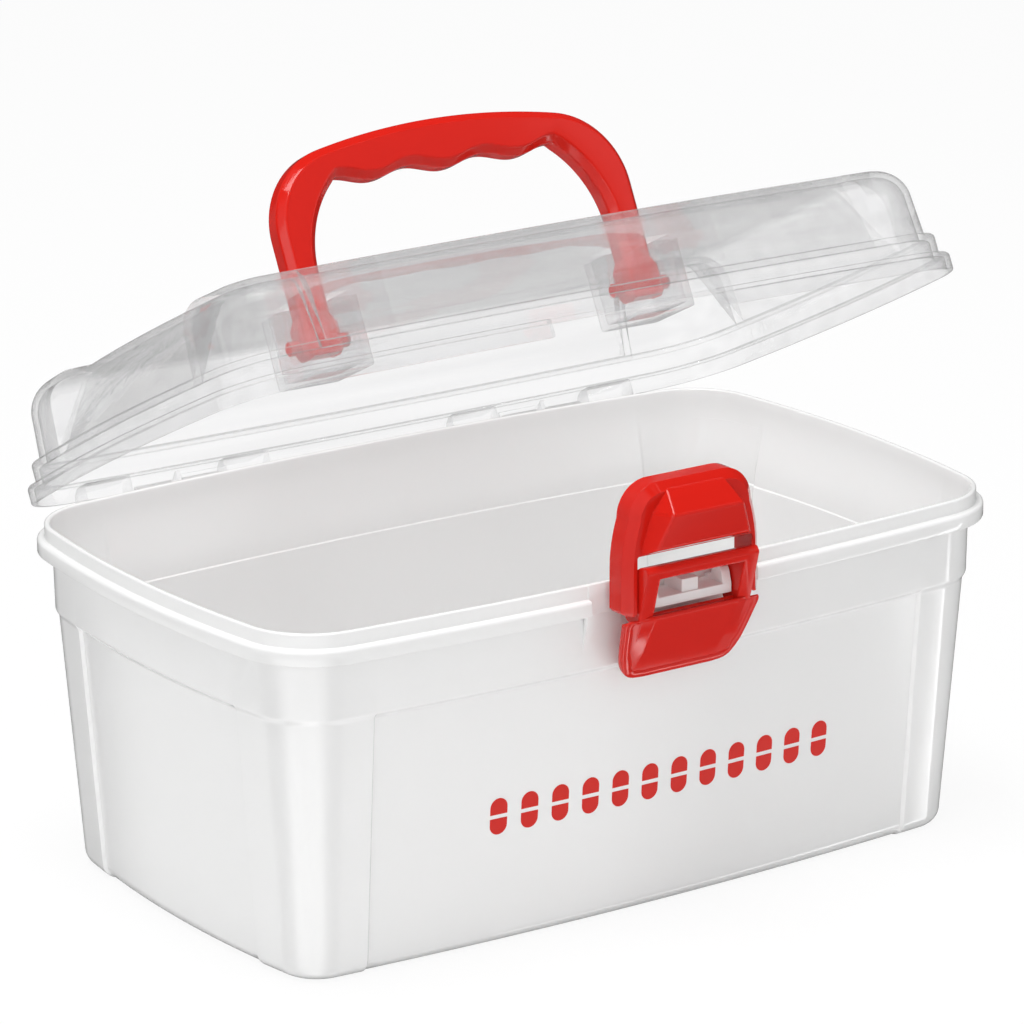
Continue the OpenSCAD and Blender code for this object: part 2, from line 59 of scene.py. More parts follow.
# %% [markdown]
# ## Camera
# The camera was fitted to the photograph: a long lens, a little above the rim, from
# the front left. Its place follows from two angles, a roll and three distances.
# %% Make the camera
AZIMUTH = -34.43
ELEVATION = 16.99
ROLL = -0.29
FOCAL_PX = 5380.1
PICTURE_PX = 1024
CENTRE_PX = (506.31, 511.42)
SENSOR = 36.0
RIGHT_MM = 2.91
UP_MM = -97.1
AWAY_MM = 1589.72
CLIP_END_M = 20


def link_object(name, data):
    piece = bpy.data.objects.new(name, data)
    bpy.context.scene.collection.objects.link(piece)
    return piece


def set_all(thing, **settings):
    for name, value in settings.items():
        setattr(thing, name, value)
    return thing


def make_camera():
    az = math.radians(AZIMUTH)
    el = math.radians(ELEVATION)
    roll = math.radians(ROLL)
    back = Vector((math.sin(az) * math.cos(el), -math.cos(az) * math.cos(el), math.sin(el)))
    level = (-back).cross(Vector((0, 0, 1))).normalized()
    upright = level.cross(-back)
    right = math.cos(roll) * level + math.sin(roll) * upright
    up = math.cos(roll) * upright - math.sin(roll) * level
    place = -(RIGHT_MM * right + UP_MM * up - AWAY_MM * back) * MM
    data = set_all(bpy.data.cameras.new("camera"), sensor_width=SENSOR, clip_end=CLIP_END_M,
                   lens=SENSOR * FOCAL_PX / PICTURE_PX, shift_x=0.5 - CENTRE_PX[0] / PICTURE_PX,
                   shift_y=CENTRE_PX[1] / PICTURE_PX - 0.5)
    camera = link_object("camera", data)
    turned = Matrix((right, up, back)).transposed().to_4x4()
    camera.matrix_world = Matrix.Translation(place) @ turned
    bpy.context.scene.camera = camera
    return camera


camera = make_camera()
print("camera at", [round(c, 3) for c in camera.matrix_world.translation])

# %% [markdown]
# ## Small tools for meshes
# Most pieces are lofts: closed rings of points, one above the other, joined by
# quads. A loft keeps its edges even and its wall true, which matters for the clear
# lid, where light bends at both faces of the wall.
# %% Define the mesh tools
SHARP = math.radians(32)
WELD_MM = 0.003
BAR_SIDES = 48
CORNER_PASSES = 2


def smoothstep(t):
    t = min(1.0, max(0.0, t))
    return t * t * (3 - 2 * t)


def mix(a, b, t):
    return a + (b - a) * t


def steps(count):
    return [i / count for i in range(count + 1)]


def add_object(name, bm):
    """Makes an object of a mesh in millimetres, with smooth faces and sharp corners."""
    mesh = bpy.data.meshes.new(name)
    bmesh.ops.scale(bm, vec=(MM, MM, MM), verts=bm.verts)
    bm.to_mesh(mesh)
    bm.free()
    piece = link_object(name, mesh)
    smooth(piece)
    return piece


def smooth(piece):
    piece.data.shade_smooth()
    piece.data.set_sharp_from_angle(angle=SHARP)


def add_solid(name, bm):
    """Makes an object of a closed mesh, its faces turned outwards."""
    bmesh.ops.recalc_face_normals(bm, faces=bm.faces)
    return add_object(name, bm)


def join_rows(bm, low, high):
    """Joins two closed rows of points with quads."""
    for i in range(len(low)):
        j = (i + 1) % len(low)
        bm.faces.new((low[i], low[j], high[j], high[i]))


def loft(name, rings):
    """Skins rings of equal length and closes both ends with a face."""
    bm = bmesh.new()
    rows = [[bm.verts.new(p) for p in ring] for ring in rings]
    for low, high in zip(rows, rows[1:]):
        join_rows(bm, low, high)
    bm.faces.new(list(reversed(rows[0])))
    bm.faces.new(rows[-1])
    return add_solid(name, bm)


def soften(bm, width, segments):
    if width > 0:
        bmesh.ops.bevel(bm, geom=list(bm.edges), offset=width, segments=segments, profile=0.5,
                        affect="EDGES", clamp_overlap=True)


def block(name, x, y, z, edge=0.0):
    """A box between three pairs of limits, its edges rounded by edge."""
    bm = bmesh.new()
    bmesh.ops.create_cube(bm, size=1)
    for v in bm.verts:
        v.co = Vector((x[v.co.x > 0], y[v.co.y > 0], z[v.co.z > 0]))
    soften(bm, edge, 3)
    return add_solid(name, bm)


def side_prism(name, x, profile, edge=0.0):
    """A side profile in y and z, drawn out along x; its edges are rounded."""
    bm = bmesh.new()
    first, second = [[bm.verts.new((end, y, z)) for y, z in profile] for end in x]
    bm.faces.new(list(reversed(first)))
    bm.faces.new(second)
    join_rows(bm, first, second)
    soften(bm, edge, 2)
    return add_solid(name, bm)


def bar(name, place, r, x, edge=0.0):
    """A round bar along x about a place, its rims rounded by edge."""
    bm = bmesh.new()
    turn = Matrix.Rotation(math.pi / 2, 3, "Y")
    bmesh.ops.create_cone(bm, cap_ends=True, segments=BAR_SIDES, radius1=r, radius2=r,
                          depth=x[1] - x[0])
    bmesh.ops.rotate(bm, verts=bm.verts, cent=(0, 0, 0), matrix=turn)
    bmesh.ops.translate(bm, verts=bm.verts, vec=((x[0] + x[1]) / 2, place.y, place.z))
    if edge > 0:
        rims = [e for e in bm.edges if any(len(f.verts) > 4 for f in e.link_faces)]
        bmesh.ops.bevel(bm, geom=rims, offset=edge, segments=3, profile=0.5, affect="EDGES")
    return add_object(name, bm)


def both_sides(right):
    """The pieces of the right side and their mirror images on the left."""
    left = []
    for piece in right:
        bm = bmesh.new()
        bm.from_mesh(piece.data)
        bmesh.ops.scale(bm, vec=(-1 / MM, 1 / MM, 1 / MM), verts=bm.verts)
        bmesh.ops.reverse_faces(bm, faces=bm.faces)
        left.append(add_object(piece.name + "_left", bm))
    return right + left


def weld(mesh):
    """Joins points that lie very close together and drops faces without area."""
    bm = bmesh.new()
    bm.from_mesh(mesh)
    bmesh.ops.remove_doubles(bm, verts=bm.verts, dist=WELD_MM * MM)
    bmesh.ops.dissolve_degenerate(bm, edges=bm.edges, dist=WELD_MM * MM)
    bm.to_mesh(mesh)
    bm.free()


def add_modifier(piece, kind, **settings):
    return set_all(piece.modifiers.new(kind.lower(), kind), **settings)


def evaluated_mesh(piece):
    """A new mesh of the piece with its modifiers applied."""
    bpy.context.view_layer.update()
    graph = bpy.context.evaluated_depsgraph_get()
    return bpy.data.meshes.new_from_object(piece.evaluated_get(graph))


def combine(base, others, operation):
    """Adds the other pieces to the base or cuts them out of it."""
    for other in others:
        add_modifier(base, "BOOLEAN", operation=operation, solver="EXACT", object=other)
    mesh = evaluated_mesh(base)
    weld(mesh)
    base.modifiers.clear()
    old = base.data
    base.data = mesh
    bpy.data.meshes.remove(old)
    for other in others:
        bpy.data.objects.remove(other)
    smooth(base)
    return base


# %% [markdown]
# ## The outline of the case
# Seen from above, the tub and the lid share one outline: two long arcs, two short
# arcs and four corner arcs that touch them. All the arcs keep their centres when
# the outline moves inwards, so each wall has the same thickness all round. Flat
# panels lie a little deeper between the corner columns.
# %% Work out the outline
tub_low, tub_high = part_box("tub")
LENGTH = (tub_high.x - tub_low.x) / MM
WIDTH = 159.0
SIDE_BOW = 6.8
END_BOW = 8.3
CORNER_R = 24.5
PANEL_X = 94.5
PANEL_Y = 42.5
PANEL_EDGE = 0.9
INNER_EDGE = 1.6
EDGE_STEPS = [PANEL_EDGE * t for t in steps(4)]
EDGE_STEPS += [PANEL_EDGE + INNER_EDGE * t for t in steps(4)[1:]]
END_COUNT = 10
CORNER_COUNT = 20
SIDE_COUNT = 20
OUTSIDE = 0
INSIDE = 1


def arc_radius(half, bow):
    return (half * half + bow * bow) / (2 * bow)


SIDE_R = arc_radius(LENGTH / 2, SIDE_BOW)
END_R = arc_radius(WIDTH / 2, END_BOW)
SIDE_C = Vector((0, WIDTH / 2 - SIDE_R))
END_C = Vector((LENGTH / 2 - END_R, 0))


def corner_centre():
    apart = END_C - SIDE_C
    d = apart.length
    along = ((SIDE_R - CORNER_R) ** 2 - (END_R - CORNER_R) ** 2 + d * d) / (2 * d)
    across = math.sqrt((SIDE_R - CORNER_R) ** 2 - along * along)
    unit = apart / d
    return SIDE_C + along * unit + across * Vector((unit.y, -unit.x))


CORNER_C = corner_centre()


def angle_from(centre):
    return math.atan2(CORNER_C.y - centre.y, CORNER_C.x - centre.x)


def panel_shares(past):
    """The shares of a panel's depth, outside and inside, at a point past the panel's end."""
    return (1 - smoothstep(past / PANEL_EDGE), 1 - smoothstep((past - PANEL_EDGE) / INNER_EDGE))


def quarter_stations():
    """Centre, radius, angle, and the shares of the front and of the end panel."""
    full, none = (1, 1), (0, 0)
    found = []
    for t in steps(END_COUNT):
        found.append((END_C, END_R, math.asin(PANEL_Y * t / END_R), none, full))
    for past in EDGE_STEPS[1:]:
        angle = math.asin((PANEL_Y + past) / END_R)
        found.append((END_C, END_R, angle, none, panel_shares(past)))
    for t in steps(CORNER_COUNT):
        angle = mix(angle_from(END_C), angle_from(SIDE_C), t)
        found.append((CORNER_C, CORNER_R, angle, none, none))
    for past in reversed(EDGE_STEPS):
        angle = math.acos((PANEL_X + past) / SIDE_R)
        found.append((SIDE_C, SIDE_R, angle, panel_shares(past), none))
    for t in steps(SIDE_COUNT)[1:]:
        found.append((SIDE_C, SIDE_R, math.acos(PANEL_X * (1 - t) / SIDE_R), full, none))
    return found


STATIONS = quarter_stations()


def ring(level, face):
    """The outline at a height, moved in by an inset and in the panels by more."""
    z, inset, front, end = level
    quarter = []
    for centre, radius, angle, front_share, end_share in STATIONS:
        r = radius - inset - front_share[face] * front - end_share[face] * end
        quarter.append((centre.x + r * math.cos(angle), centre.y + r * math.sin(angle)))
    there, back = quarter[:-1], quarter[:0:-1]
    quarters = ((there, 1, 1), (back, -1, 1), (there, -1, -1), (back, 1, -1))
    return [(sx * x, sy * y, z) for line, sx, sy in quarters for x, y in line]


def side_y(x, inset):
    """How far the long side's arc lies from the middle at x."""
    return SIDE_C.y + math.sqrt((SIDE_R - inset) ** 2 - x * x)


def shell(name, *walls):
    """A shell from pairs of levels and a face, outside or inside."""
    return loft(name, [ring(level, face) for levels, face in walls for level in levels])


print("points in a ring:", len(ring((0, 0, 0, 0), OUTSIDE)))

# %% [markdown]
# ## The tub
# The tub is one thin moulding. Its profile goes up the outside, over the flange and
# the lip, and down the inside. Each level of the profile is a ring of the outline.
# The flange is cut away at the latch and at the hinges.
# %% Give the tub's sizes
TUB_H = 100.3
WALL = 1.9
FLOOR_T = 2.2
BASE_INSET = 11.6
BASE_R = 4.5
FLANGE_H = 4.6
FLANGE_OUT = 4.4
LIP_H = 4.2
LIP_INSET = 2.2
LIP_T = 1.6
BAND_Z = 77.6
BAND_STEP = 1.3
BAND_FOOT = 1.0
BAND_TOP = 1.6
INNER_STEP = 0.45
PANEL_D = 1.0
FLOOR_R = 3.5
ROUND_COUNT = 8
FLOOR_COUNT = 6
RIM = ((1.0, 0), (0.5, 0.13), (0.13, 0.5), (0, 1.0))
NOTCH_X = 28.6
FLANGE_Z = TUB_H - FLANGE_H
LIP_Z = TUB_H + LIP_H
LIP_Y = -(WIDTH / 2 - LIP_INSET)
COLUMN_INSET = FLANGE_OUT + BAND_STEP


def wall_inset(z):
    return COLUMN_INSET + (BAND_Z - z) * (BASE_INSET - COLUMN_INSET) / BAND_Z


def soft_rim(z, inset):
    """A round edge of 1 mm under a level, as pairs of height and inset."""
    return [(z - drop, inset + shift) for drop, shift in RIM]


def without_panels(pairs):
    return [(z, inset, 0, 0) for z, inset in pairs]


def tub_outer():
    """Levels from the base up to the lip: height, inset, and the depths of the panels."""
    levels = []
    for t in steps(ROUND_COUNT):
        a = t * math.pi / 2
        z = BASE_R * (1 - math.cos(a))
        levels.append((z, wall_inset(z) + BASE_R * (1 - math.sin(a)), PANEL_D, PANEL_D))
    for t in steps(ROUND_COUNT):
        s = smoothstep(t)
        z = mix(BAND_Z - BAND_FOOT, BAND_Z + BAND_TOP, t)
        inset = mix(wall_inset(BAND_Z - BAND_FOOT), FLANGE_OUT + 0.3, s)
        levels.append((z, inset, PANEL_D * (1 - s), PANEL_D * (1 - s)))
    flange = [(FLANGE_Z - 0.5, FLANGE_OUT), (FLANGE_Z, FLANGE_OUT - 0.5), (FLANGE_Z, 0.6),
              (FLANGE_Z + 0.15, 0.2), (FLANGE_Z + 0.6, 0)] + soft_rim(TUB_H, 0)
    flange += [(TUB_H, LIP_INSET - 0.4), (TUB_H + 0.12, LIP_INSET - 0.12), (TUB_H + 0.4, LIP_INSET)]
    for t in steps(ROUND_COUNT):
        a = t * math.pi
        flange.append((LIP_Z - 0.6 + 0.6 * math.sin(a), LIP_INSET + LIP_T / 2 * (1 - math.cos(a))))
    return levels + without_panels(flange)


def tub_inner():
    """Levels down the inside. The wall leans in from the lip to the band's foot, where it
    has a small step."""
    levels = []
    for t in steps(ROUND_COUNT):
        z = mix(TUB_H + 1, BAND_Z + 0.4, t)
        inset = mix(LIP_INSET + LIP_T, COLUMN_INSET + WALL - INNER_STEP, smoothstep(t))
        levels.append((z, inset, PANEL_D * t, PANEL_D * t))
    levels.append((BAND_Z + 0.2, COLUMN_INSET + WALL - INNER_STEP / 2, PANEL_D, PANEL_D))
    levels.append((BAND_Z, COLUMN_INSET + WALL, PANEL_D, PANEL_D))
    for t in steps(FLOOR_COUNT):
        a = t * math.pi / 2
        z = FLOOR_T + FLOOR_R * (1 - math.sin(a))
        levels.append((z, wall_inset(z) + WALL + FLOOR_R * (1 - math.cos(a)), PANEL_D, PANEL_D))
    return levels


# %% Give the hinge's sizes
hinge_place = Vector(joints["lid_hinge"]["pos_m"]) / MM
HINGE_Y = hinge_place.y
HINGE_Z = hinge_place.z
HINGE_X = 65.5
ROD_L = 33.0
LUG_W = 16.0
LUG_PAST = 0.15
ROD_R = 1.7
CLIP_R = 3.3
MOUTH_R = 6
MOUTH_DEG = range(-5, 96, 25)
RIB_T = 1.6
GAP = 0.4
BORE_GAP = 0.1
HINGE_X0 = HINGE_X - ROD_L / 2
HINGE_X1 = HINGE_X + ROD_L / 2
CLIP_BACK = HINGE_Y - CLIP_R - GAP


def hinge_clip(x0, x1):
    root = side_y((x0 + x1) / 2, LIP_INSET + LIP_T / 2)
    low = HINGE_Z - CLIP_R
    profile = [(root, low - 2.5), (HINGE_Y - 0.9, low + 0.3), (HINGE_Y - 0.8, low + 1.6),
               (HINGE_Y - CLIP_R + 0.6, TUB_H - 0.3), (root, TUB_H - 0.3)]
    clip = bar("clip", hinge_place, CLIP_R, (x0, x1), 0.25)
    return combine(clip, [side_prism("arm", (x0 + 0.02, x1 - 0.02), profile)], "UNION")


def clip_mouth(x0, x1):
    """The bore of a clip, open towards the rear and the top."""
    fan = [(HINGE_Y, HINGE_Z)]
    for a in MOUTH_DEG:
        fan.append((HINGE_Y + MOUTH_R * math.cos(math.radians(a)),
                    HINGE_Z + MOUTH_R * math.sin(math.radians(a))))
    bore = bar("bore", hinge_place, ROD_R + BORE_GAP, (x0 - 1, x1 + 1))
    return combine(bore, [side_prism("mouth", (x0 - 1, x1 + 1), fan)], "UNION")


# %% Make the tub with its hinge clips
def cut_notch(piece, back, z):
    """Takes away the edge in front of the latch, as far back as back."""
    notch = block("notch", (-NOTCH_X, NOTCH_X), (-WIDTH / 2 - 2, back), z)
    combine(piece, [notch], "DIFFERENCE")


def make_tub():
    tub = shell("tub_shell", (tub_outer(), OUTSIDE), (tub_inner(), INSIDE))
    cut_notch(tub, LIP_Y, (FLANGE_Z - 1, LIP_Z + 2))
    foot = -side_y(NOTCH_X, FLANGE_OUT) + 0.8
    lip_back = LIP_Y + LIP_T
    pad_profile = [(LIP_Y, FLANGE_Z + 1), (foot, BAND_Z + 4), (foot + 1, BAND_Z + 4),
                   (lip_back, TUB_H - 5), (lip_back, LIP_Z - 0.02), (LIP_Y, LIP_Z - 0.02)]
    pad = side_prism("pad", (-NOTCH_X, NOTCH_X), pad_profile, 0.35)
    room = block("room", (HINGE_X0 - LUG_W - 2, HINGE_X1 + LUG_W + 2), (CLIP_BACK, HINGE_Y + 9),
                 (FLANGE_Z - 1, TUB_H + 0.01))
    combine(tub, [pad], "UNION")
    combine(tub, both_sides([room]), "DIFFERENCE")
    spans = ((HINGE_X0 + 2, HINGE_X - RIB_T / 2 - 1), (HINGE_X + RIB_T / 2 + 1, HINGE_X1 - 2))
    combine(tub, both_sides([hinge_clip(*span) for span in spans]), "UNION")
    combine(tub, both_sides([clip_mouth(*span) for span in spans]), "DIFFERENCE")
    return tub


tub = make_tub()
print("tub faces:", len(tub.data.polygons))

# %% [markdown]
# ## The lid
# The lid is made closed, where its sizes are easy to read, and then turned open
# about the hinge. Its dome has four upright corner columns with large rounded tops,
# and panels that lean in between them.
# %% Give the lid's sizes
LID_OPEN = -joints["lid_hinge"]["range_deg"][0]
LID_WALL = 1.8
SKIRT_H = 5.3
LID_STEP = 2.8
LID_BAND_H = 6.4
LEDGE_W = 2.7
DOME_H = 22.1
DOME_R = 10.0
DOME_COUNT = 24
CREST_H = 2.5
CREST_IN = 1.8
PANEL_FOOT = 1
COLUMN_FOOT = 0.8
SLANT = 1.1
FRONT_LEAN = 7.6
END_LEAN = 14.6
LID_GAP = 0.4
LID_Z = TUB_H + LID_GAP
SKIRT_Z = LID_Z + SKIRT_H
LEDGE_Z = SKIRT_Z + LID_BAND_H
LID_TOP = LEDGE_Z + DOME_H
DOME_INSET = LID_STEP + LEDGE_W


def lean_inset(z, lean, wall):
    """The inset of a leaning panel of the dome, with its rounded crest."""
    t = max(0.0, z - (LID_TOP - wall - CREST_H)) / CREST_H
    crest = CREST_IN * (1 - math.sqrt(max(0.0, 1 - t * t)))
    return DOME_INSET + PANEL_FOOT + lean * (z - LEDGE_Z) / DOME_H + SLANT * wall + crest


def dome_level(angle, wall):
    r = DOME_R - wall
    z = LID_TOP - DOME_R + r * math.sin(angle)
    column = DOME_INSET + COLUMN_FOOT + wall + r * (1 - math.cos(angle))
    front, end = [lean_inset(z, lean, wall) - column for lean in (FRONT_LEAN, END_LEAN)]
    return (z, column, front, end)


def lid_inner():
    w = LID_WALL
    high = LEDGE_Z - w
    rim = LIP_INSET - 0.5
    inner = [dome_level(t * math.pi / 2, w) for t in reversed(steps(DOME_COUNT))]
    inner += [(high + 0.6, DOME_INSET + w, 1, 1), (high + 0.1, DOME_INSET + w - 0.3, 0.8, 0.8)]
    return inner + without_panels([
        (high, LID_STEP + w + 0.5), (high - 0.5, LID_STEP + w), (LIP_Z + LID_GAP, LID_STEP + w),
        (LIP_Z + LID_GAP, rim + 0.2), (LIP_Z + LID_GAP - 0.3, rim), (LID_Z + 0.2, rim),
        (LID_Z, LIP_INSET - 0.7)])


def lid_outer():
    band = [(LID_Z, 0.5), (LID_Z + 0.15, 0.15), (LID_Z + 0.5, 0)] + soft_rim(SKIRT_Z, 0)
    band += [(SKIRT_Z, LID_STEP - 0.6), (SKIRT_Z + 0.17, LID_STEP - 0.17),
             (SKIRT_Z + 0.6, LID_STEP)]
    outer = without_panels(band + soft_rim(LEDGE_Z, LID_STEP))
    outer += [(LEDGE_Z, DOME_INSET - 0.5, 1, 1), (LEDGE_Z + 0.15, DOME_INSET - 0.15, 1, 1),
              (LEDGE_Z + 0.5, DOME_INSET + 0.02, 1, 1)]
    return outer + [dome_level(t * math.pi / 2, 0) for t in steps(DOME_COUNT)]


# %% Give the pockets' sizes
HANDLE_W = 122.6
LEG_W = 10.1
HANDLE_T = 9.0
HANDLE_Y = -2.5
SWING = joints["handle_pivot"]["range_deg"][1]
PIVOT_R = 2.1
PIVOT_D = 12.5
PIVOT_Z = LID_TOP - PIVOT_D
PIVOT = Vector((0, HANDLE_Y, PIVOT_Z))
LEG_X = HANDLE_W / 2
LEG_IN = LEG_X - LEG_W
FOOT_X = 1.8
FOOT_GAP = 1.8
POCKET_X = (LEG_IN - FOOT_X - FOOT_GAP, LEG_X + FOOT_X + FOOT_GAP)
POCKET_LOW = 8.5
POCKET_D = PIVOT_D + POCKET_LOW
POCKET_T = 1.6
half_swing = math.radians(SWING)
POCKET_Y = PIVOT_D * math.tan(half_swing) + HANDLE_T / 2 / math.cos(half_swing) + GAP


def pocket_box(grow, low, high, edge):
    """The pocket's room, or with grow the block around it."""
    return block("pocket", (POCKET_X[0] - grow, POCKET_X[1] + grow),
                 (HANDLE_Y - POCKET_Y - grow, HANDLE_Y + POCKET_Y + grow), (low, high), edge)


def lug(x0, x1):
    """A hinge lug of the lid. Its round back follows the clips."""
    y, z, rear = HINGE_Y, HINGE_Z, HINGE_Y + CLIP_R
    root = side_y(x0, LIP_INSET - 0.8)
    profile = [(root, LID_Z + 0.1), (CLIP_BACK + GAP, LID_Z + 0.1), (y - CLIP_R + 0.1, z),
               (y - 2.4, z - 2.2), (y, z - CLIP_R), (y + 2.3, z - 2.3), (rear - 0.1, z),
               (rear - 0.3, z + 2), (rear - 1.5, z + 4.2), (rear - 3.6, SKIRT_Z - 0.4),
               (root, SKIRT_Z - 0.1)]
    return side_prism("lug", (x0, x1), profile, 0.5)


def rib():
    """The thin wall that holds the rod between the two clips."""
    y, z = HINGE_Y, HINGE_Z
    root = side_y(HINGE_X, LIP_INSET - 1.0)
    profile = [(root, LID_Z + 0.1), (CLIP_BACK + GAP, LID_Z + 0.1), (CLIP_BACK + 0.8, z - 0.5),
               (y, z - ROD_R + 0.3), (y + 1.2, z), (y, z + 2.4), (CLIP_BACK + 0.5, LID_Z + 4),
               (root, LID_Z + 4)]
    return side_prism("rib", (HINGE_X - RIB_T / 2, HINGE_X + RIB_T / 2), profile, 0.2)


# %% Make the lid and turn it open
def turn_open(piece):
    """Turns a piece from the closed lid's place to the open lid's."""
    pivot = Matrix.Translation(hinge_place * MM)
    open_turn = Matrix.Rotation(math.radians(-LID_OPEN), 4, "X")
    piece.data.transform(pivot @ open_turn @ pivot.inverted())
    return piece


def pocket_parts():
    """What is cut out at each side: the pocket, its pin bores and the gap for the clips."""
    ends = (POCKET_X[0] - POCKET_T - 1, POCKET_X[1] + POCKET_T + 1)
    return [pocket_box(0, LID_TOP - POCKET_D, LID_TOP + 4, 0.6),
            bar("bore", PIVOT, PIVOT_R + BORE_GAP, ends),
            block("gap", (HINGE_X0, HINGE_X1), (CLIP_BACK, HINGE_Y + 2),
                  (LID_Z - 1, HINGE_Z + CLIP_R + GAP))]


def hinge_parts():
    """What is added at each side: two lugs, a rib and the rod. The lugs reach a little over
    the gap's edges."""
    return [lug(HINGE_X0 - LUG_W, HINGE_X0 + LUG_PAST), lug(HINGE_X1 - LUG_PAST, HINGE_X1 + LUG_W),
            rib(), bar("rod", hinge_place, ROD_R, (HINGE_X0 - 1, HINGE_X1 + 1))]


def make_lid():
    lid = shell("lid_shell", (lid_inner(), INSIDE), (lid_outer(), OUTSIDE))
    cut_notch(lid, -(WIDTH / 2 - LID_STEP), (LID_Z - 1, SKIRT_Z + 0.01))
    low = LID_TOP - POCKET_D - POCKET_T
    combine(lid, both_sides([pocket_box(POCKET_T, low, LID_TOP - 0.5, 0.8)]), "UNION")
    combine(lid, both_sides(pocket_parts()), "DIFFERENCE")
    combine(lid, both_sides(hinge_parts()), "UNION")
    return turn_open(lid)


lid = make_lid()
print("lid faces:", len(lid.data.polygons))

# %% [markdown]
# ## The handle
# The handle is one bar bent into an arch. A loft follows the arch from one foot to
# the other, and each section is a rectangle with cut corners. The grip has waves
# for the fingers. They follow a rule, so Geometry Nodes make them: the points
# marked as grip move up and down with the cosine of their place along the bar.
# %% Work out the arch
HANDLE_H = 46.5
GRIP_D = 13.8
HANDLE_TOP = LID_TOP + HANDLE_H
GRIP_Z = HANDLE_TOP - GRIP_D
WAVE_H = 1.2
WAVE_PITCH = 25.0
CROWN_R = 220.0
BEND_R = 24.3
ARCH_R = 34.2
ARCH_RISE = 27
HANDLE_BEVEL = 2.2
FOOT_Z = PIVOT_Z + 5
FOOT_LOW = 9.5
CROWN_C = Vector((0, HANDLE_TOP - CROWN_R))
BEND_X = LEG_X - BEND_R
BEND_C = Vector((BEND_X, CROWN_C.y + math.sqrt((CROWN_R - BEND_R) ** 2 - BEND_X ** 2)))
BEND_A = math.asin(BEND_X / (CROWN_R - BEND_R))
ARCH_C = Vector((LEG_IN - ARCH_R, GRIP_Z + 0.8 - ARCH_RISE))
ARCH_A = math.asin(ARCH_RISE / ARCH_R)
GRIP_X = ARCH_C.x + ARCH_R * math.cos(ARCH_A)
GRIP_STEPS = 40
BEND_STEPS = 20


def around(centre, radius, angle_from_up):
    return centre + radius * Vector((math.sin(angle_from_up), math.cos(angle_from_up)))


def foot_line(leg, out, d):
    """The edge of a foot up to the leg. It faces out to the side when out is 1, and in
    when it is -1."""
    x = leg + out * FOOT_X
    line = [(x - out * 2, FOOT_Z - FOOT_LOW + d / 2), (x - out * d, FOOT_Z - FOOT_LOW + 2),
            (x - out * d, FOOT_Z), (leg - out * d, FOOT_Z + 3)]
    return [Vector(p) for p in line]


def bend_line(centre, radius, end):
    """An arc from the leg up to its end's angle, without the last point."""
    return [around(centre, radius, mix(math.pi / 2, end, t)) for t in steps(BEND_STEPS)[:-1]]


def outer_half(d):
    """The outer edge from a foot to the middle, moved in by d."""
    crown = [around(CROWN_C, CROWN_R - d, BEND_A * (1 - t)) for t in steps(GRIP_STEPS)]
    return foot_line(LEG_X, 1, d) + bend_line(BEND_C, BEND_R - d, BEND_A) + crown


def inner_half(d):
    """The inner edge from a foot to the middle, moved out by d, with a straight grip."""
    arch = bend_line(ARCH_C, ARCH_R + d, math.pi / 2 - ARCH_A)
    grip = [Vector((GRIP_X * (1 - t), GRIP_Z + d)) for t in steps(GRIP_STEPS)]
    return foot_line(LEG_IN, -1, d) + arch + grip


def whole(half):
    """Both halves of an edge, given the right one."""
    return half + [Vector((-p.x, p.y)) for p in reversed(half[:-1])]


# %% Write the waves as Geometry Nodes
def feed(tree, node, inputs):
    """Gives each input, by name or number, a value or a link from another node's socket."""
    for name, value in inputs.items():
        if isinstance(value, bpy.types.NodeSocket):
            tree.links.new(value, node.inputs[name])
        else:
            node.inputs[name].default_value = value


def add_node(tree, kind, inputs=None, **settings):
    """A new node. Its settings come first, since they can change its inputs."""
    node = set_all(tree.nodes.new(kind), **settings)
    feed(tree, node, inputs or {})
    return node


def add_math(tree, operation, a, b=None):
    inputs = {0: a} if b is None else {0: a, 1: b}
    return add_node(tree, "ShaderNodeMath", inputs, operation=operation).outputs[0]


def add_sockets(tree, in_out, kind, names):
    return [tree.interface.new_socket(n, in_out=in_out, socket_type=kind) for n in names]


def start_tree(name, sizes):
    """A Geometry Nodes tree with a geometry input and one named input for each size."""
    tree = bpy.data.node_groups.new(name, "GeometryNodeTree")
    add_sockets(tree, "INPUT", "NodeSocketGeometry", ["Geometry"])
    add_sockets(tree, "INPUT", "NodeSocketFloat", sizes)
    add_sockets(tree, "OUTPUT", "NodeSocketGeometry", ["Geometry"])
    place = add_node(tree, "GeometryNodeInputPosition")
    parts = add_node(tree, "ShaderNodeSeparateXYZ", {0: place.outputs[0]})
    return tree, add_node(tree, "NodeGroupInput").outputs, parts.outputs


def end_tree(tree, geometry, material):
    """Realizes the geometry, paints it and hands it out."""
    real = add_node(tree, "GeometryNodeRealizeInstances", {0: geometry})
    painted = add_node(tree, "GeometryNodeSetMaterial",
                       {"Geometry": real.outputs[0], "Material": material})
    add_node(tree, "NodeGroupOutput", {"Geometry": painted.outputs[0]})
    return tree


def wave_tree(material):
    tree, given, place = start_tree("finger_waves", ["Wave height", "Wave pitch"])
    mark = add_node(tree, "GeometryNodeInputNamedAttribute", {"Name": "grip"})
    turns = add_math(tree, "DIVIDE", place["X"], given["Wave pitch"])
    wave = add_math(tree, "COSINE", add_math(tree, "MULTIPLY", turns, 2 * math.pi))
    rise = add_math(tree, "MULTIPLY", wave, given["Wave height"])
    drop = add_math(tree, "MULTIPLY", rise, -1.0)
    marked = add_math(tree, "MULTIPLY", drop, mark.outputs["Attribute"])
    shift = add_node(tree, "ShaderNodeCombineXYZ", {"Z": marked})
    move = add_node(tree, "GeometryNodeSetPosition",
                    {"Geometry": given["Geometry"], "Offset": shift.outputs[0]})
    return end_tree(tree, move.outputs[0], material)


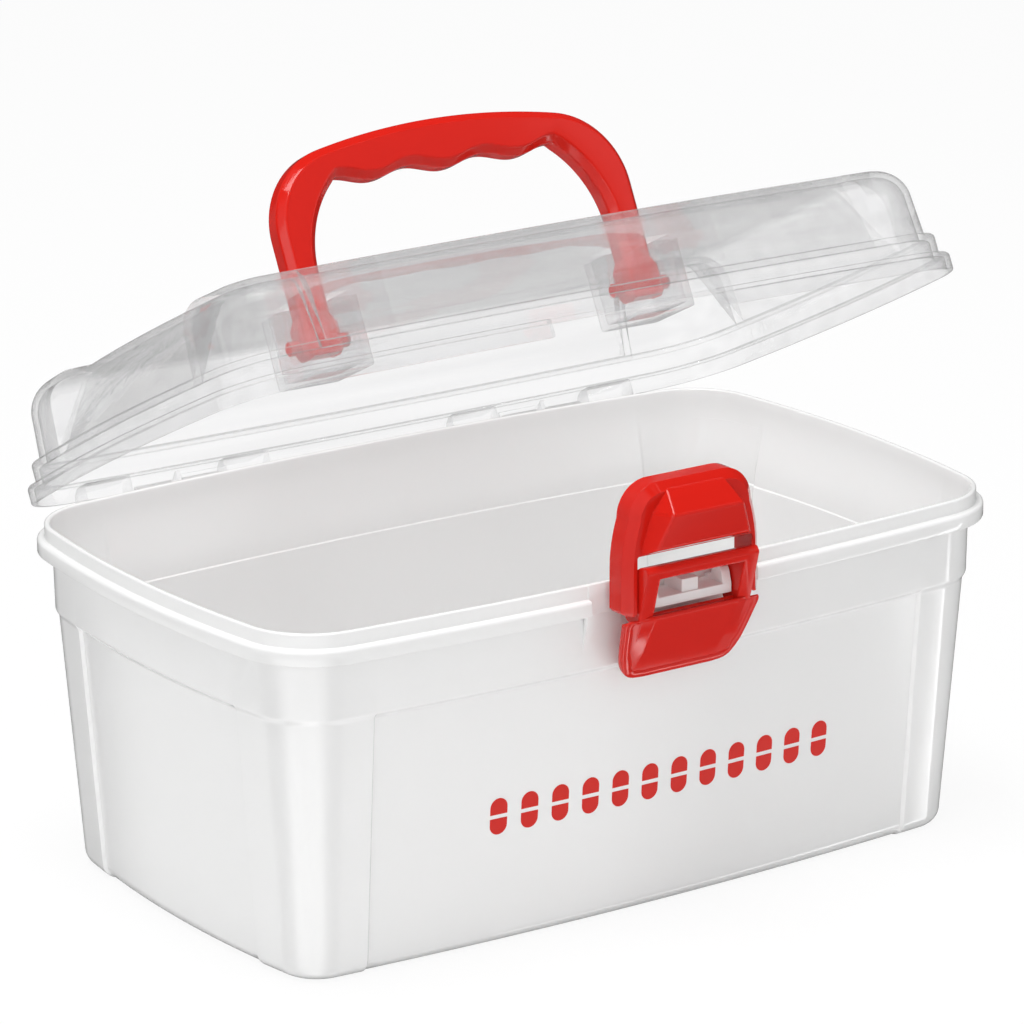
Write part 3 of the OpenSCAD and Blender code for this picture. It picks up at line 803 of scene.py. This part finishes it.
def apply_modifiers(piece):
    mesh = evaluated_mesh(piece)
    piece.modifiers.clear()
    piece.data = mesh
    return piece


def run_nodes(piece, tree, values):
    """Changes a piece by a tree of Geometry Nodes. Values go by the names of its inputs."""
    modifier = add_modifier(piece, "NODES", node_group=tree)
    for item in tree.interface.items_tree:
        if item.in_out == "INPUT" and item.name in values:
            modifier[item.identifier] = values[item.name]
    apply_modifiers(piece)


def even_normals(piece):
    """Lets wide faces set the normals, so that flat faces look flat beside round edges."""
    add_modifier(piece, "WEIGHTED_NORMAL", keep_sharp=True, weight=100)
    return apply_modifiers(piece)


def round_edges(piece, width, angle=28, segments=3):
    """Rounds every edge that is sharper than the angle."""
    add_modifier(piece, "BEVEL", width=width * MM, segments=segments, limit_method="ANGLE",
                 angle_limit=math.radians(angle))
    apply_modifiers(piece)
    smooth(piece)
    return piece


# %% [markdown]
# ## Plastics
# All the mouldings are glossy. A moulded face is never a perfect mirror: it has a
# faint waviness and small changes of gloss. One shader group makes both, and each
# plastic sets its own strength.
# %% Make the plastics
SURFACE_INPUTS = {"Wave size": 60.0, "Stretch": 1.0, "Grain size": 900.0, "Roughness": 0.2,
                  "Spread": 0.05}
GRAIN_H = 0.04
RELIEF_M = 0.0004
# Painted shade: the light that goes straight through the lid turns from the face colour to the grey
# edge colour at a slant. This stands in for the light that the wall bends along its edges. The
# streak range adds a little of the same painted grey in faint streaks.
CLEAR_FACE = (0.972, 0.972, 0.974, 1)
CLEAR_EDGE_SHADE = (0.62, 0.62, 0.625, 1)
CLEAR_SHADOW = (0.985, 0.985, 0.985, 1)
STRAIGHT = ((0.3, 0.9), (0.86, 0.3))
STREAK_SHADE = ((0.35, 0.65), (0.1, 0.0))
GLANCE_POWER = 5.0


def map_range(tree, value, start, end, **settings):
    """Maps a value from one pair of limits to another and holds it between them."""
    inputs = {"Value": value, "From Min": start[0], "From Max": start[1], "To Min": end[0],
              "To Max": end[1]}
    return add_node(tree, "ShaderNodeMapRange", inputs, **settings).outputs["Result"]


def mix_colours(tree, factor, first, second):
    inputs = {"Factor": factor, "A": first, "B": second}
    return add_node(tree, "ShaderNodeMix", inputs, data_type="RGBA").outputs["Result"]


def mix_shaders(tree, factor, first, second):
    return add_node(tree, "ShaderNodeMixShader", {0: factor, 1: first, 2: second}).outputs[0]


def surface_group():
    """Roughness with a fine grain, and the height of a slow wave with a little grain."""
    group = bpy.data.node_groups.new("moulded_surface", "ShaderNodeTree")
    for socket in add_sockets(group, "INPUT", "NodeSocketFloat", list(SURFACE_INPUTS)):
        socket.default_value = SURFACE_INPUTS[socket.name]
    add_sockets(group, "OUTPUT", "NodeSocketFloat", ["Roughness", "Height"])
    given = add_node(group, "NodeGroupInput").outputs
    place = add_node(group, "ShaderNodeTexCoord").outputs["Object"]
    shares = add_node(group, "ShaderNodeCombineXYZ", {"X": given["Stretch"], "Y": 1.0, "Z": 1.0})
    drawn = add_node(group, "ShaderNodeVectorMath", {0: place, 1: shares.outputs[0]},
                     operation="MULTIPLY")
    wave = add_node(group, "ShaderNodeTexNoise", {
        "Vector": drawn.outputs[0], "Scale": given["Wave size"], "Detail": 1.5}).outputs["Fac"]
    grain = add_node(group, "ShaderNodeTexNoise", {
        "Vector": place, "Scale": given["Grain size"], "Detail": 2.0}).outputs["Fac"]
    centred = add_math(group, "SUBTRACT", grain, 0.5)
    spread = add_math(group, "MULTIPLY", centred, given["Spread"])
    height = add_math(group, "ADD", wave, add_math(group, "MULTIPLY", grain, GRAIN_H))
    add_node(group, "NodeGroupOutput", {
        "Roughness": add_math(group, "ADD", given["Roughness"], spread), "Height": height})
    return group


SURFACE = surface_group()


def new_material(name):
    material = bpy.data.materials.new(name)
    material.use_nodes = True
    return material, material.node_tree, material.node_tree.nodes["Principled BSDF"]


def plastic(name, colour, roughness, bump, specular=0.5, wave_size=60.0, spread=0.05, stretch=1.0):
    """A plastic of one colour with its own gloss and waviness."""
    material, tree, shader = new_material(name)
    surface = add_node(tree, "ShaderNodeGroup", {
        "Wave size": wave_size, "Stretch": stretch, "Roughness": roughness, "Spread": spread},
        node_tree=SURFACE)
    relief = add_node(tree, "ShaderNodeBump", {
        "Strength": bump, "Distance": RELIEF_M, "Height": surface.outputs["Height"]})
    feed(tree, shader, {
        "Base Color": (*colour, 1), "Specular IOR Level": specular,
        "Roughness": surface.outputs["Roughness"], "Normal": relief.outputs[0]})
    return material


def clear_plastic():
    """The lid's plastic. Face on, most of the light goes straight through the thin wall, and
    at a slant more of it bends. The grey lines along edges are partly that bending and partly
    painted shade: the light that goes straight through is tinted grey at a slant and in faint
    painted streaks. Shadow and diffuse rays go through, so that light reaches the tub."""
    material = plastic("clear plastic", (0.96, 0.96, 0.96), roughness=0.02, bump=0.3,
                       wave_size=200.0, spread=0.02, stretch=0.04)
    tree = material.node_tree
    shader = tree.nodes["Principled BSDF"]
    feed(tree, shader, {"Transmission Weight": 0.78, "IOR": 1.35})
    path = add_node(tree, "ShaderNodeLightPath").outputs
    either = add_math(tree, "MAXIMUM", path["Is Shadow Ray"], path["Is Diffuse Ray"])
    slant = add_node(tree, "ShaderNodeLayerWeight", {"Blend": 0.35}).outputs["Facing"]
    straight = map_range(tree, slant, *STRAIGHT)
    streak_shade = map_range(tree, tree.nodes["Group"].outputs["Height"], *STREAK_SHADE)
    # Painted shade: the straight-through light turns grey at a slant and in faint streaks.
    painted_shade = add_math(tree, "ADD", add_math(tree, "POWER", slant, GLANCE_POWER), streak_shade)
    tint = mix_colours(tree, painted_shade, CLEAR_FACE, CLEAR_EDGE_SHADE)
    through = add_node(tree, "ShaderNodeBsdfTransparent",
                       {"Color": mix_colours(tree, either, tint, CLEAR_SHADOW)})
    share = add_math(tree, "MAXIMUM", either, straight)
    mixed = mix_shaders(tree, share, shader.outputs[0], through.outputs[0])
    feed(tree, tree.nodes["Material Output"], {"Surface": mixed})
    return material


WHITE = plastic("white plastic", (0.87, 0.87, 0.868), roughness=0.1, bump=0.06)
RED = plastic("red plastic", (0.62, 0.014, 0.008), roughness=0.1, bump=0.08, specular=0.3)
PRINT = plastic("red ink", (0.66, 0.02, 0.013), roughness=0.42, bump=0.05, specular=0.25)
CLEAR = clear_plastic()
print("materials:", [m.name for m in bpy.data.materials])


def paint(piece, material):
    piece.data.materials.clear()
    piece.data.materials.append(material)


# %% Make the handle
HANDLE_EDGE = 0.7
GRIP_PAST = 0.1


def handle_sections():
    half = HANDLE_T / 2
    flat = half - HANDLE_BEVEL
    lines = [whole(edge(d)) for edge in (outer_half, inner_half) for d in (0, HANDLE_BEVEL)]
    sections = []
    for o0, o1, i0, i1 in zip(*lines):
        corners = [(i1, -half), (o1, -half), (o0, -flat), (o0, flat), (o1, half), (i1, half),
                   (i0, flat), (i0, -flat)]
        sections.append([(p.x, HANDLE_Y + y, p.y) for p, y in corners])
    return sections


def make_handle():
    handle = loft("handle_bar", handle_sections())
    grip = handle.data.attributes.new("grip", "FLOAT", "POINT")
    low, high = (GRIP_Z - GRIP_PAST) * MM, (GRIP_Z + HANDLE_BEVEL + GRIP_PAST) * MM
    for i, v in enumerate(handle.data.vertices):
        marked = low < v.co.z < high and abs(v.co.x) < (GRIP_X + GRIP_PAST) * MM
        grip.data[i].value = 1.0 if marked else 0.0
    run_nodes(handle, wave_tree(RED), {"Wave height": WAVE_H * MM, "Wave pitch": WAVE_PITCH * MM})
    round_edges(handle, HANDLE_EDGE)
    ends = (POCKET_X[0] - POCKET_T + GAP, POCKET_X[1] + POCKET_T - GAP)
    pins = both_sides([bar("pin", PIVOT, PIVOT_R, ends, 0.3)])
    combine(handle, pins, "UNION")
    return turn_open(even_normals(handle))


handle = make_handle()
print("handle faces:", len(handle.data.polygons))

# %% [markdown]
# ## The latch
# The lever turns on the tub's bracket. Its lower half is a shield for the finger,
# with a raised face. Its upper half is two arms and a crossbar. The hook hangs on
# the arms, and its belly stands out in a ridge.
# %% Give the latch's sizes
lever_place = Vector(joints["latch_lever_pivot"]["pos_m"]) / MM
hook_place = Vector(joints["latch_hook_pivot"]["pos_m"]) / MM
HOOK_W = 46.6
HOOK_LEG_T = 3.7
LATCH_R = 1.5
ARM_X = (14.4, HOOK_W / 2 - HOOK_LEG_T - GAP)
JOURNAL_L = 2.9
LEG_SEAT_R = 5.2
SHIELD_A = math.radians(22.8)
SHIELD_T = 2.4
SHIELD_X = HOOK_W / 2 - 0.1
SHIELD_H = 22.0
SHIELD_TOP = Vector((hook_place.y - 3.7, hook_place.z - 4.3))
SHIELD_FOOT = SHIELD_TOP + SHIELD_H * Vector((math.sin(SHIELD_A), -math.cos(SHIELD_A)))
ARM_FRONT = lever_place.y - 9.5
FACE_X = (18.05, 14.15)
BRACKET_X = 12
POST_X = 2.85
PIN_EDGE = 0.3
PLATE_LEVELS = [(-SHIELD_T, 0.5), (-SHIELD_T + 0.4, 0), (-1.0, 0), (-0.5, 0.15), (-0.15, 0.5),
                (0, 1.1), (0, 2.0), (-0.1, 2.5), (-0.35, 2.9)]


def make_bracket():
    y, z = lever_place.y, lever_place.z
    front = y - 3.4
    back = LIP_Y + 0.1
    low = TUB_H - 3.2
    profile = [(back, low), (front, low), (front, TUB_H - 0.4), (y - 2.4, z + 0.5),
               (y - 1.7, z + 1.8), (y + 1.7, z + 1.8), (y + 2.4, TUB_H + 0.6), (back, TUB_H + 0.6)]
    ends = both_sides([
        side_prism("bracket_end", (BRACKET_X - 1, ARM_X[0] - GAP), profile, 0.3),
        bar("journal", lever_place, LATCH_R, (BRACKET_X, ARM_X[0] + JOURNAL_L), PIN_EDGE)])
    beam = block("latch_bracket_body", (-BRACKET_X, BRACKET_X), (front, back),
                 (low, TUB_H - 0.3), 0.3)
    post = block("post", (-POST_X, POST_X), (front + 0.6, back), (TUB_H - 1, TUB_H + 3.4), 0.3)
    return even_normals(combine(beam, ends + [post], "UNION"))


def on_shield(x, s, h):
    """A point at x, s up the shield's plate and h out of its face."""
    return (x, SHIELD_FOOT.x - s * math.sin(SHIELD_A) - h * math.cos(SHIELD_A),
            SHIELD_FOOT.y + s * math.cos(SHIELD_A) - h * math.sin(SHIELD_A))


def cut_corners(points):
    """Rounds an open line by cutting its corners, and keeps its ends."""
    for _ in range(CORNER_PASSES):
        finer = [points[0]]
        for a, b in zip(points, points[1:]):
            finer.append((mix(a[0], b[0], 0.25), mix(a[1], b[1], 0.25)))
            finer.append((mix(a[0], b[0], 0.75), mix(a[1], b[1], 0.75)))
        points = finer + [points[-1]]
    return points


def shield_ring(h, d):
    """The shield's outline at a height out of its face, moved in by d."""
    x = SHIELD_X
    top = SHIELD_H - 0.2 * d
    half = cut_corners([(x - 11.5, d), (x - 6.4, 0.5 + d), (x - 3.4 - d, 4.0 + d),
                        (x - 1.9 - d, 9), (x - 0.4 - d, 18), (x - d, top - 1.6),
                        (x - 0.5 - d, top - 0.4), (x - 1.4 - d, top)])
    return [on_shield(px, s, h) for px, s in half + [(-px, s) for px, s in reversed(half)]]


def lever_face():
    """The raised face: low at its two ends and high between them."""
    low = [(8, -1.5), (21.6, -1.5), (22.6, -0.8), (22.6, -0.1), (21.5, 0.0), (8, -0.6)]
    high = [(8, -1.5), (21.8, -1.5), (22.9, 0.1), (23.3, 0.8), (22.7, 1.4), (8, -0.5)]
    wide, narrow = FACE_X
    sections = [[on_shield(x, s, h) for s, h in points]
                for x, points in ((-wide, low), (-narrow, high), (narrow, high), (wide, low))]
    return round_edges(loft("lever_face", sections), 0.6, 10, 4)


def lever_arm():
    y, z, f = lever_place.y, lever_place.z, ARM_FRONT
    profile = [(f, z + 6.9), (SHIELD_TOP.x, SHIELD_TOP.y - 0.5),
               (SHIELD_TOP.x + 3, SHIELD_TOP.y - 3), (y + 1.4, z - 8.5), (y + 2.7, z - 5.2),
               (y + 2.7, z + 2.2), (y + 2, z + 3.4), (f + 4, z + 8), (f + 1.1, z + 8.5)]
    return side_prism("lever_arm", ARM_X, profile, 0.45)


def crossbar():
    z, f = lever_place.z, ARM_FRONT
    profile = [(f, z + 6.9), (f + 0.6, z + 4.6), (f + 3.9, z + 4.9), (f + 4, z + 8),
               (f + 1.1, z + 8.5)]
    return side_prism("crossbar", (-ARM_X[0] - 1, ARM_X[0] + 1), profile, 0.4)


def make_lever():
    lever = loft("latch_lever_body", [shield_ring(h, d) for h, d in PLATE_LEVELS])
    combine(lever, [lever_face(), crossbar()] + both_sides([lever_arm()]), "UNION")
    cuts = both_sides([
        bar("journal_bore", lever_place, LATCH_R + BORE_GAP,
            (ARM_X[0] - 2, ARM_X[0] + JOURNAL_L + 0.3)),
        bar("leg_seat", hook_place, LEG_SEAT_R, (ARM_X[1], ARM_X[1] + 8))])
    combine(lever, cuts, "DIFFERENCE")
    ends = (ARM_X[1] - 1, ARM_X[1] + GAP + JOURNAL_L)
    pins = both_sides([bar("hook_pin", hook_place, LATCH_R, ends, PIN_EDGE)])
    combine(lever, pins, "UNION")
    return even_normals(lever)


lever = make_lever()
bracket = make_bracket()
print("lever faces:", len(lever.data.polygons))

# %% Make the hook
HOOK_X = HOOK_W / 2
HOOK_IN = HOOK_X - HOOK_LEG_T
HOOK_TOP = hook_place.z + 34
HOOK_D = 8.2
BELLY_D = 6.6
CREST_R = 10.0
CREST_X = HOOK_X - 12.3
SIDE_LEAN = 2.3
SIDE_Z = HOOK_TOP - 24
FRONT_BEVEL = (2.4, 2.6)
TOOTH_X = 16
BRIDGE_Z = hook_place.z + 14.3
LEG_Z = hook_place.z - 2.7
HOOK_BACK = hook_place.y + 4.6
HOOK_FRONT = HOOK_BACK - HOOK_D


def hook_outer(d):
    """Half of the hook's outer edge, moved in by d: its leg, leaning side and round crest."""
    leg = [(HOOK_X - 0.9 - d / 2, LEG_Z), (HOOK_X - d, LEG_Z + 1), (HOOK_X - d, SIDE_Z)]
    side = [(HOOK_X - mix(0, SIDE_LEAN, t * t) - d, mix(SIDE_Z, HOOK_TOP - CREST_R, t))
            for t in steps(6)[1:-1]]
    crest_c = Vector((CREST_X, HOOK_TOP - CREST_R))
    crest = [around(crest_c, CREST_R - d, (1 - t) * math.pi / 2) for t in steps(16)]
    return [Vector(p) for p in leg + side] + crest + [Vector((0, HOOK_TOP - d))]


def hook_inner(count):
    """Half of the inner edge, with as many points as the outer one."""
    corner = HOOK_IN - 0.4
    leg = [(HOOK_IN + 0.7, LEG_Z), (HOOK_IN, LEG_Z + 0.8), (HOOK_IN, BRIDGE_Z - 0.4),
           (corner, BRIDGE_Z)]
    rest = count - len(leg)
    leg += [(corner * (1 - (i + 1) / rest), BRIDGE_Z) for i in range(rest)]
    return [Vector(p) for p in leg]


def hook_body():
    across, along = FRONT_BEVEL
    outer, front = hook_outer(0), hook_outer(across)
    inner = hook_inner(len(outer))
    sections = []
    for o, f, i in zip(whole(outer), whole(front), whole(inner)):
        sections.append([(i.x, HOOK_FRONT, i.y), (f.x, HOOK_FRONT, f.y),
                         (o.x, HOOK_FRONT + along, o.y), (o.x, HOOK_BACK, o.y),
                         (i.x, HOOK_BACK, i.y)])
    return round_edges(loft("latch_hook_body", sections), 0.6)


def belly_ring(z, back, front, out):
    y = HOOK_FRONT - out
    return [(-back, y + out + 2, z), (-front, y, z), (front, y, z), (back, y + out + 2, z)]


def make_hook():
    hook = hook_body()
    levels = [(BRIDGE_Z + 0.4, 19, 18.4, 0.6), (BRIDGE_Z + 2.3, 19, 15.9, BELLY_D - 2.1),
              (HOOK_TOP - 7.7, 15.5, 12, BELLY_D), (HOOK_TOP - 1.8, 10, 10, 0.1)]
    belly = round_edges(loft("belly", [belly_ring(*level) for level in levels]), 0.7, 15)
    near, far = HOOK_BACK - 0.8, HOOK_BACK + 2.8
    profile = [(near, BRIDGE_Z - 0.1), (far, BRIDGE_Z - 0.1), (far, BRIDGE_Z + 1),
               (near, BRIDGE_Z + 4.6)]
    tooth = side_prism("tooth", (-TOOTH_X, TOOTH_X), profile, 0.25)
    combine(hook, [belly, tooth], "UNION")
    ends = (HOOK_IN - 2, HOOK_IN + JOURNAL_L + 0.3)
    bores = both_sides([bar("pin_bore", hook_place, LATCH_R + BORE_GAP, ends)])
    combine(hook, bores, "DIFFERENCE")
    return even_normals(hook)


hook = make_hook()
print("hook faces:", len(hook.data.polygons))

# %% [markdown]
# ## The print on the front
# A row of plain capsules is printed on the front panel. Each one stands on the
# curved, leaning face of the tub, so Geometry Nodes place them along its arc.
# %% Print the row of capsules
ROW_X = (-56.0, 62.0)
ROW_Z = 39.5
CAPSULE_H = 11.0
CAPSULE_W = 5.6
CAPSULE_GAP = 1.2
CAPSULES = 12
INK_T = 0.08
INK_IN = 0.01


def capsule():
    """One capsule in two halves with a gap between them, flat in x and z."""
    bm = bmesh.new()
    r = CAPSULE_W / 2
    rise = CAPSULE_H / 2 - r
    for sign in (1, -1):
        cut = sign * CAPSULE_GAP / 2
        turns = [t * math.pi for t in steps(16)]
        arc = [(r * math.cos(a), sign * (rise + r * math.sin(a))) for a in turns]
        line = [(r, cut)] + arc + [(-r, cut)]
        face = bm.faces.new([bm.verts.new((x, 0, z)) for x, z in line])
        drawn = bmesh.ops.extrude_face_region(bm, geom=[face])
        moved = [v for v in drawn["geom"] if isinstance(v, bmesh.types.BMVert)]
        bmesh.ops.translate(bm, verts=moved, vec=(0, -INK_T, 0))
    return add_solid("capsule", bm)


def row_tree(shape, material):
    """Puts the shape on each point, moved onto the arc of the leaning wall."""
    tree, given, place = start_tree("printed_row", ["Arc radius", "Arc centre", "Lean"])
    radius = given["Arc radius"]
    square = add_math(tree, "SUBTRACT", add_math(tree, "POWER", radius, 2.0),
                      add_math(tree, "POWER", place["X"], 2.0))
    y = add_math(tree, "SUBTRACT", given["Arc centre"], add_math(tree, "SQRT", square))
    angle = add_math(tree, "ARCSINE", add_math(tree, "DIVIDE", place["X"], radius))
    spot = add_node(tree, "ShaderNodeCombineXYZ", {"X": place["X"], "Y": y, "Z": place["Z"]})
    turn = add_node(tree, "ShaderNodeCombineXYZ", {"X": given["Lean"], "Z": angle})
    move = add_node(tree, "GeometryNodeSetPosition",
                    {"Geometry": given["Geometry"], "Position": spot.outputs[0]})
    source = add_node(tree, "GeometryNodeObjectInfo", {"Object": shape})
    copies = add_node(tree, "GeometryNodeInstanceOnPoints", {
        "Points": move.outputs[0], "Instance": source.outputs["Geometry"],
        "Rotation": turn.outputs[0]})
    return end_tree(tree, copies.outputs[0], material)


def make_row():
    shape = capsule()
    bm = bmesh.new()
    first, last = ROW_X[0] + CAPSULE_W / 2, ROW_X[1] - CAPSULE_W / 2
    for t in steps(CAPSULES - 1):
        bm.verts.new((mix(first, last, t), 0, ROW_Z))
    row = add_object("printed_capsules", bm)
    inset = wall_inset(ROW_Z) + PANEL_D - INK_IN
    lean = math.atan((BASE_INSET - COLUMN_INSET) / BAND_Z)
    run_nodes(row, row_tree(shape, PRINT), {
        "Arc radius": (SIDE_R - inset) * MM, "Arc centre": -SIDE_C.y * MM, "Lean": lean})
    bpy.data.objects.remove(shape)
    return row


row = make_row()
print("row at", [round(c, 4) for c in row.data.vertices[0].co])

# %% [markdown]
# ## Dress the frame
# Each smooth shell takes the place of its plain solid and moves with that body.
# %% Put each piece on its body
for piece, node, body, slot, material in ((tub, "tub", "tub", "white_plastic", WHITE),
                                          (bracket, "latch_bracket", "tub", "white_plastic", WHITE),
                                          (lid, "lid", "lid", "clear_plastic", CLEAR),
                                          (handle, "handle", "handle", "red_plastic", RED),
                                          (lever, "latch_lever", "latch_lever", "red_plastic", RED),
                                          (hook, "latch_hook", "latch_hook", "red_plastic", RED)):
    paint(piece, material)
    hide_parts(node)
    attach(piece, body)
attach(row, "tub")

# %% [markdown]
# ## Floor and light
# The world is pure white to the camera and the floor nearly so, as in a product
# picture. Reflections see a studio instead: a grey room with upright bright panels,
# given by the direction of the ray. They draw the long highlights on the corner
# columns. The light on the object stays plain: a soft world and large lamps.
# %% Give the panels that reflections see
# Each panel has an azimuth, half a width in degrees and a strength.
PANELS = ((-50.0, 50.0, 2.9), (32.0, 14.0, 1.1), (57.0, 3.5, 6.0), (-145.0, 26.0, 0.9))
PANEL_CORE = 0.45
RISE = ((-0.3, -0.42), (0.3, 1.0))
ROOM_LEVEL = 0.15


def panel_group():
    """Brightness for a direction: the room's level and each panel by its azimuth. The panels
    are full near the floor and dim above."""
    group = bpy.data.node_groups.new("studio_panels", "ShaderNodeTree")
    add_sockets(group, "INPUT", "NodeSocketVector", ["Direction"])
    add_sockets(group, "INPUT", "NodeSocketFloat", ["Room level"])[0].default_value = ROOM_LEVEL
    add_sockets(group, "OUTPUT", "NodeSocketFloat", ["Level"])
    given = add_node(group, "NodeGroupInput").outputs
    parts = add_node(group, "ShaderNodeSeparateXYZ", {0: given["Direction"]}).outputs
    front = add_math(group, "MULTIPLY", parts["Y"], -1.0)
    turn = add_math(group, "ARCTAN2", parts["X"], front)
    azimuth = add_math(group, "MULTIPLY", turn, 180 / math.pi)
    level = given["Room level"]
    for centre, half, strength in PANELS:
        off = add_math(group, "ABSOLUTE", add_math(group, "SUBTRACT", azimuth, centre))
        fall = map_range(group, off, (half, half * PANEL_CORE), (0.0, strength),
                         interpolation_type="SMOOTHSTEP")
        level = add_math(group, "ADD", level, fall)
    rise = map_range(group, parts["Z"], *RISE)
    add_node(group, "NodeGroupOutput", {"Level": add_math(group, "MULTIPLY", level, rise)})
    return group


STUDIO = panel_group()


def ray_kinds(tree):
    """Whether a ray is seen, straight or through clear plastic, and whether it is glossy."""
    path = add_node(tree, "ShaderNodeLightPath").outputs
    seen = add_math(tree, "MAXIMUM", path["Is Camera Ray"], path["Is Transmission Ray"])
    return seen, path["Is Glossy Ray"]


def add_shader(tree, kind, strength):
    return add_node(tree, kind, {"Color": (1, 1, 1, 1), "Strength": strength}).outputs[0]


def studio_level(tree, direction):
    studio = add_node(tree, "ShaderNodeGroup", {"Direction": direction}, node_tree=STUDIO)
    return studio.outputs["Level"]


# %% Make the floor
FLOOR_HALF = 6000
FLOOR_COLOUR = (0.9, 0.9, 0.9, 1)
FLOOR_GLOW = 0.9


def make_floor():
    bm = bmesh.new()
    bmesh.ops.create_grid(bm, x_segments=1, y_segments=1, size=FLOOR_HALF)
    floor = add_object("floor", bm)
    material, tree, shader = new_material("white floor")
    feed(tree, shader, {"Base Color": FLOOR_COLOUR, "Roughness": 0.9, "Specular IOR Level": 0.0})
    seen, glossy = ray_kinds(tree)
    ray = add_node(tree, "ShaderNodeNewGeometry")
    away = add_node(tree, "ShaderNodeVectorMath", {0: ray.outputs["Incoming"], "Scale": -1.0},
                    operation="SCALE")
    panels = add_shader(tree, "ShaderNodeEmission", studio_level(tree, away.outputs[0]))
    lit = mix_shaders(tree, glossy, shader.outputs[0], panels)
    glow = add_shader(tree, "ShaderNodeEmission", 1.0)
    paper = mix_shaders(tree, FLOOR_GLOW, shader.outputs[0], glow)
    feed(tree, tree.nodes["Material Output"], {"Surface": mix_shaders(tree, seen, lit, paper)})
    floor.data.materials.append(material)
    return floor


floor = make_floor()


# %% Make the light
SOFT_LEVEL = 0.55
AIM = Vector((0, 0, 0.1))
# Each lamp has a name, a place and a size in metres, and a power in watts.
LAMPS = (("left softbox", (-1.3, -0.7, 0.9), (0.5, 0.8), 2.0),
         ("right softbox", (1.2, -1.0, 0.6), (0.4, 1.0), 1.0),
         ("top softbox", (-0.25, -0.1, 1.5), (0.8, 0.6), 14.5),
         ("front softbox", (-0.7, -1.7, 0.8), (0.6, 0.6), 1.6))


def make_world():
    world = bpy.data.worlds.new("studio")
    bpy.context.scene.world = world
    world.use_nodes = True
    tree = world.node_tree
    seen, glossy = ray_kinds(tree)
    place = add_node(tree, "ShaderNodeTexCoord").outputs["Generated"]
    soft = add_shader(tree, "ShaderNodeBackground", SOFT_LEVEL)
    panels = add_shader(tree, "ShaderNodeBackground", studio_level(tree, place))
    lit = mix_shaders(tree, glossy, soft, panels)
    bright = add_shader(tree, "ShaderNodeBackground", 1.0)
    feed(tree, tree.nodes["World Output"], {"Surface": mix_shaders(tree, seen, lit, bright)})


def add_lamp(name, place, size, watts):
    data = bpy.data.lights.new(name, "AREA")
    set_all(data, shape="RECTANGLE", size=size[0], size_y=size[1], energy=watts)
    lamp = link_object(name, data)
    lamp.location = place
    lamp.rotation_euler = (AIM - Vector(place)).to_track_quat("-Z", "Y").to_euler()


make_world()
for lamp in LAMPS:
    add_lamp(*lamp)
bpy.context.scene.view_settings.view_transform = "Standard"
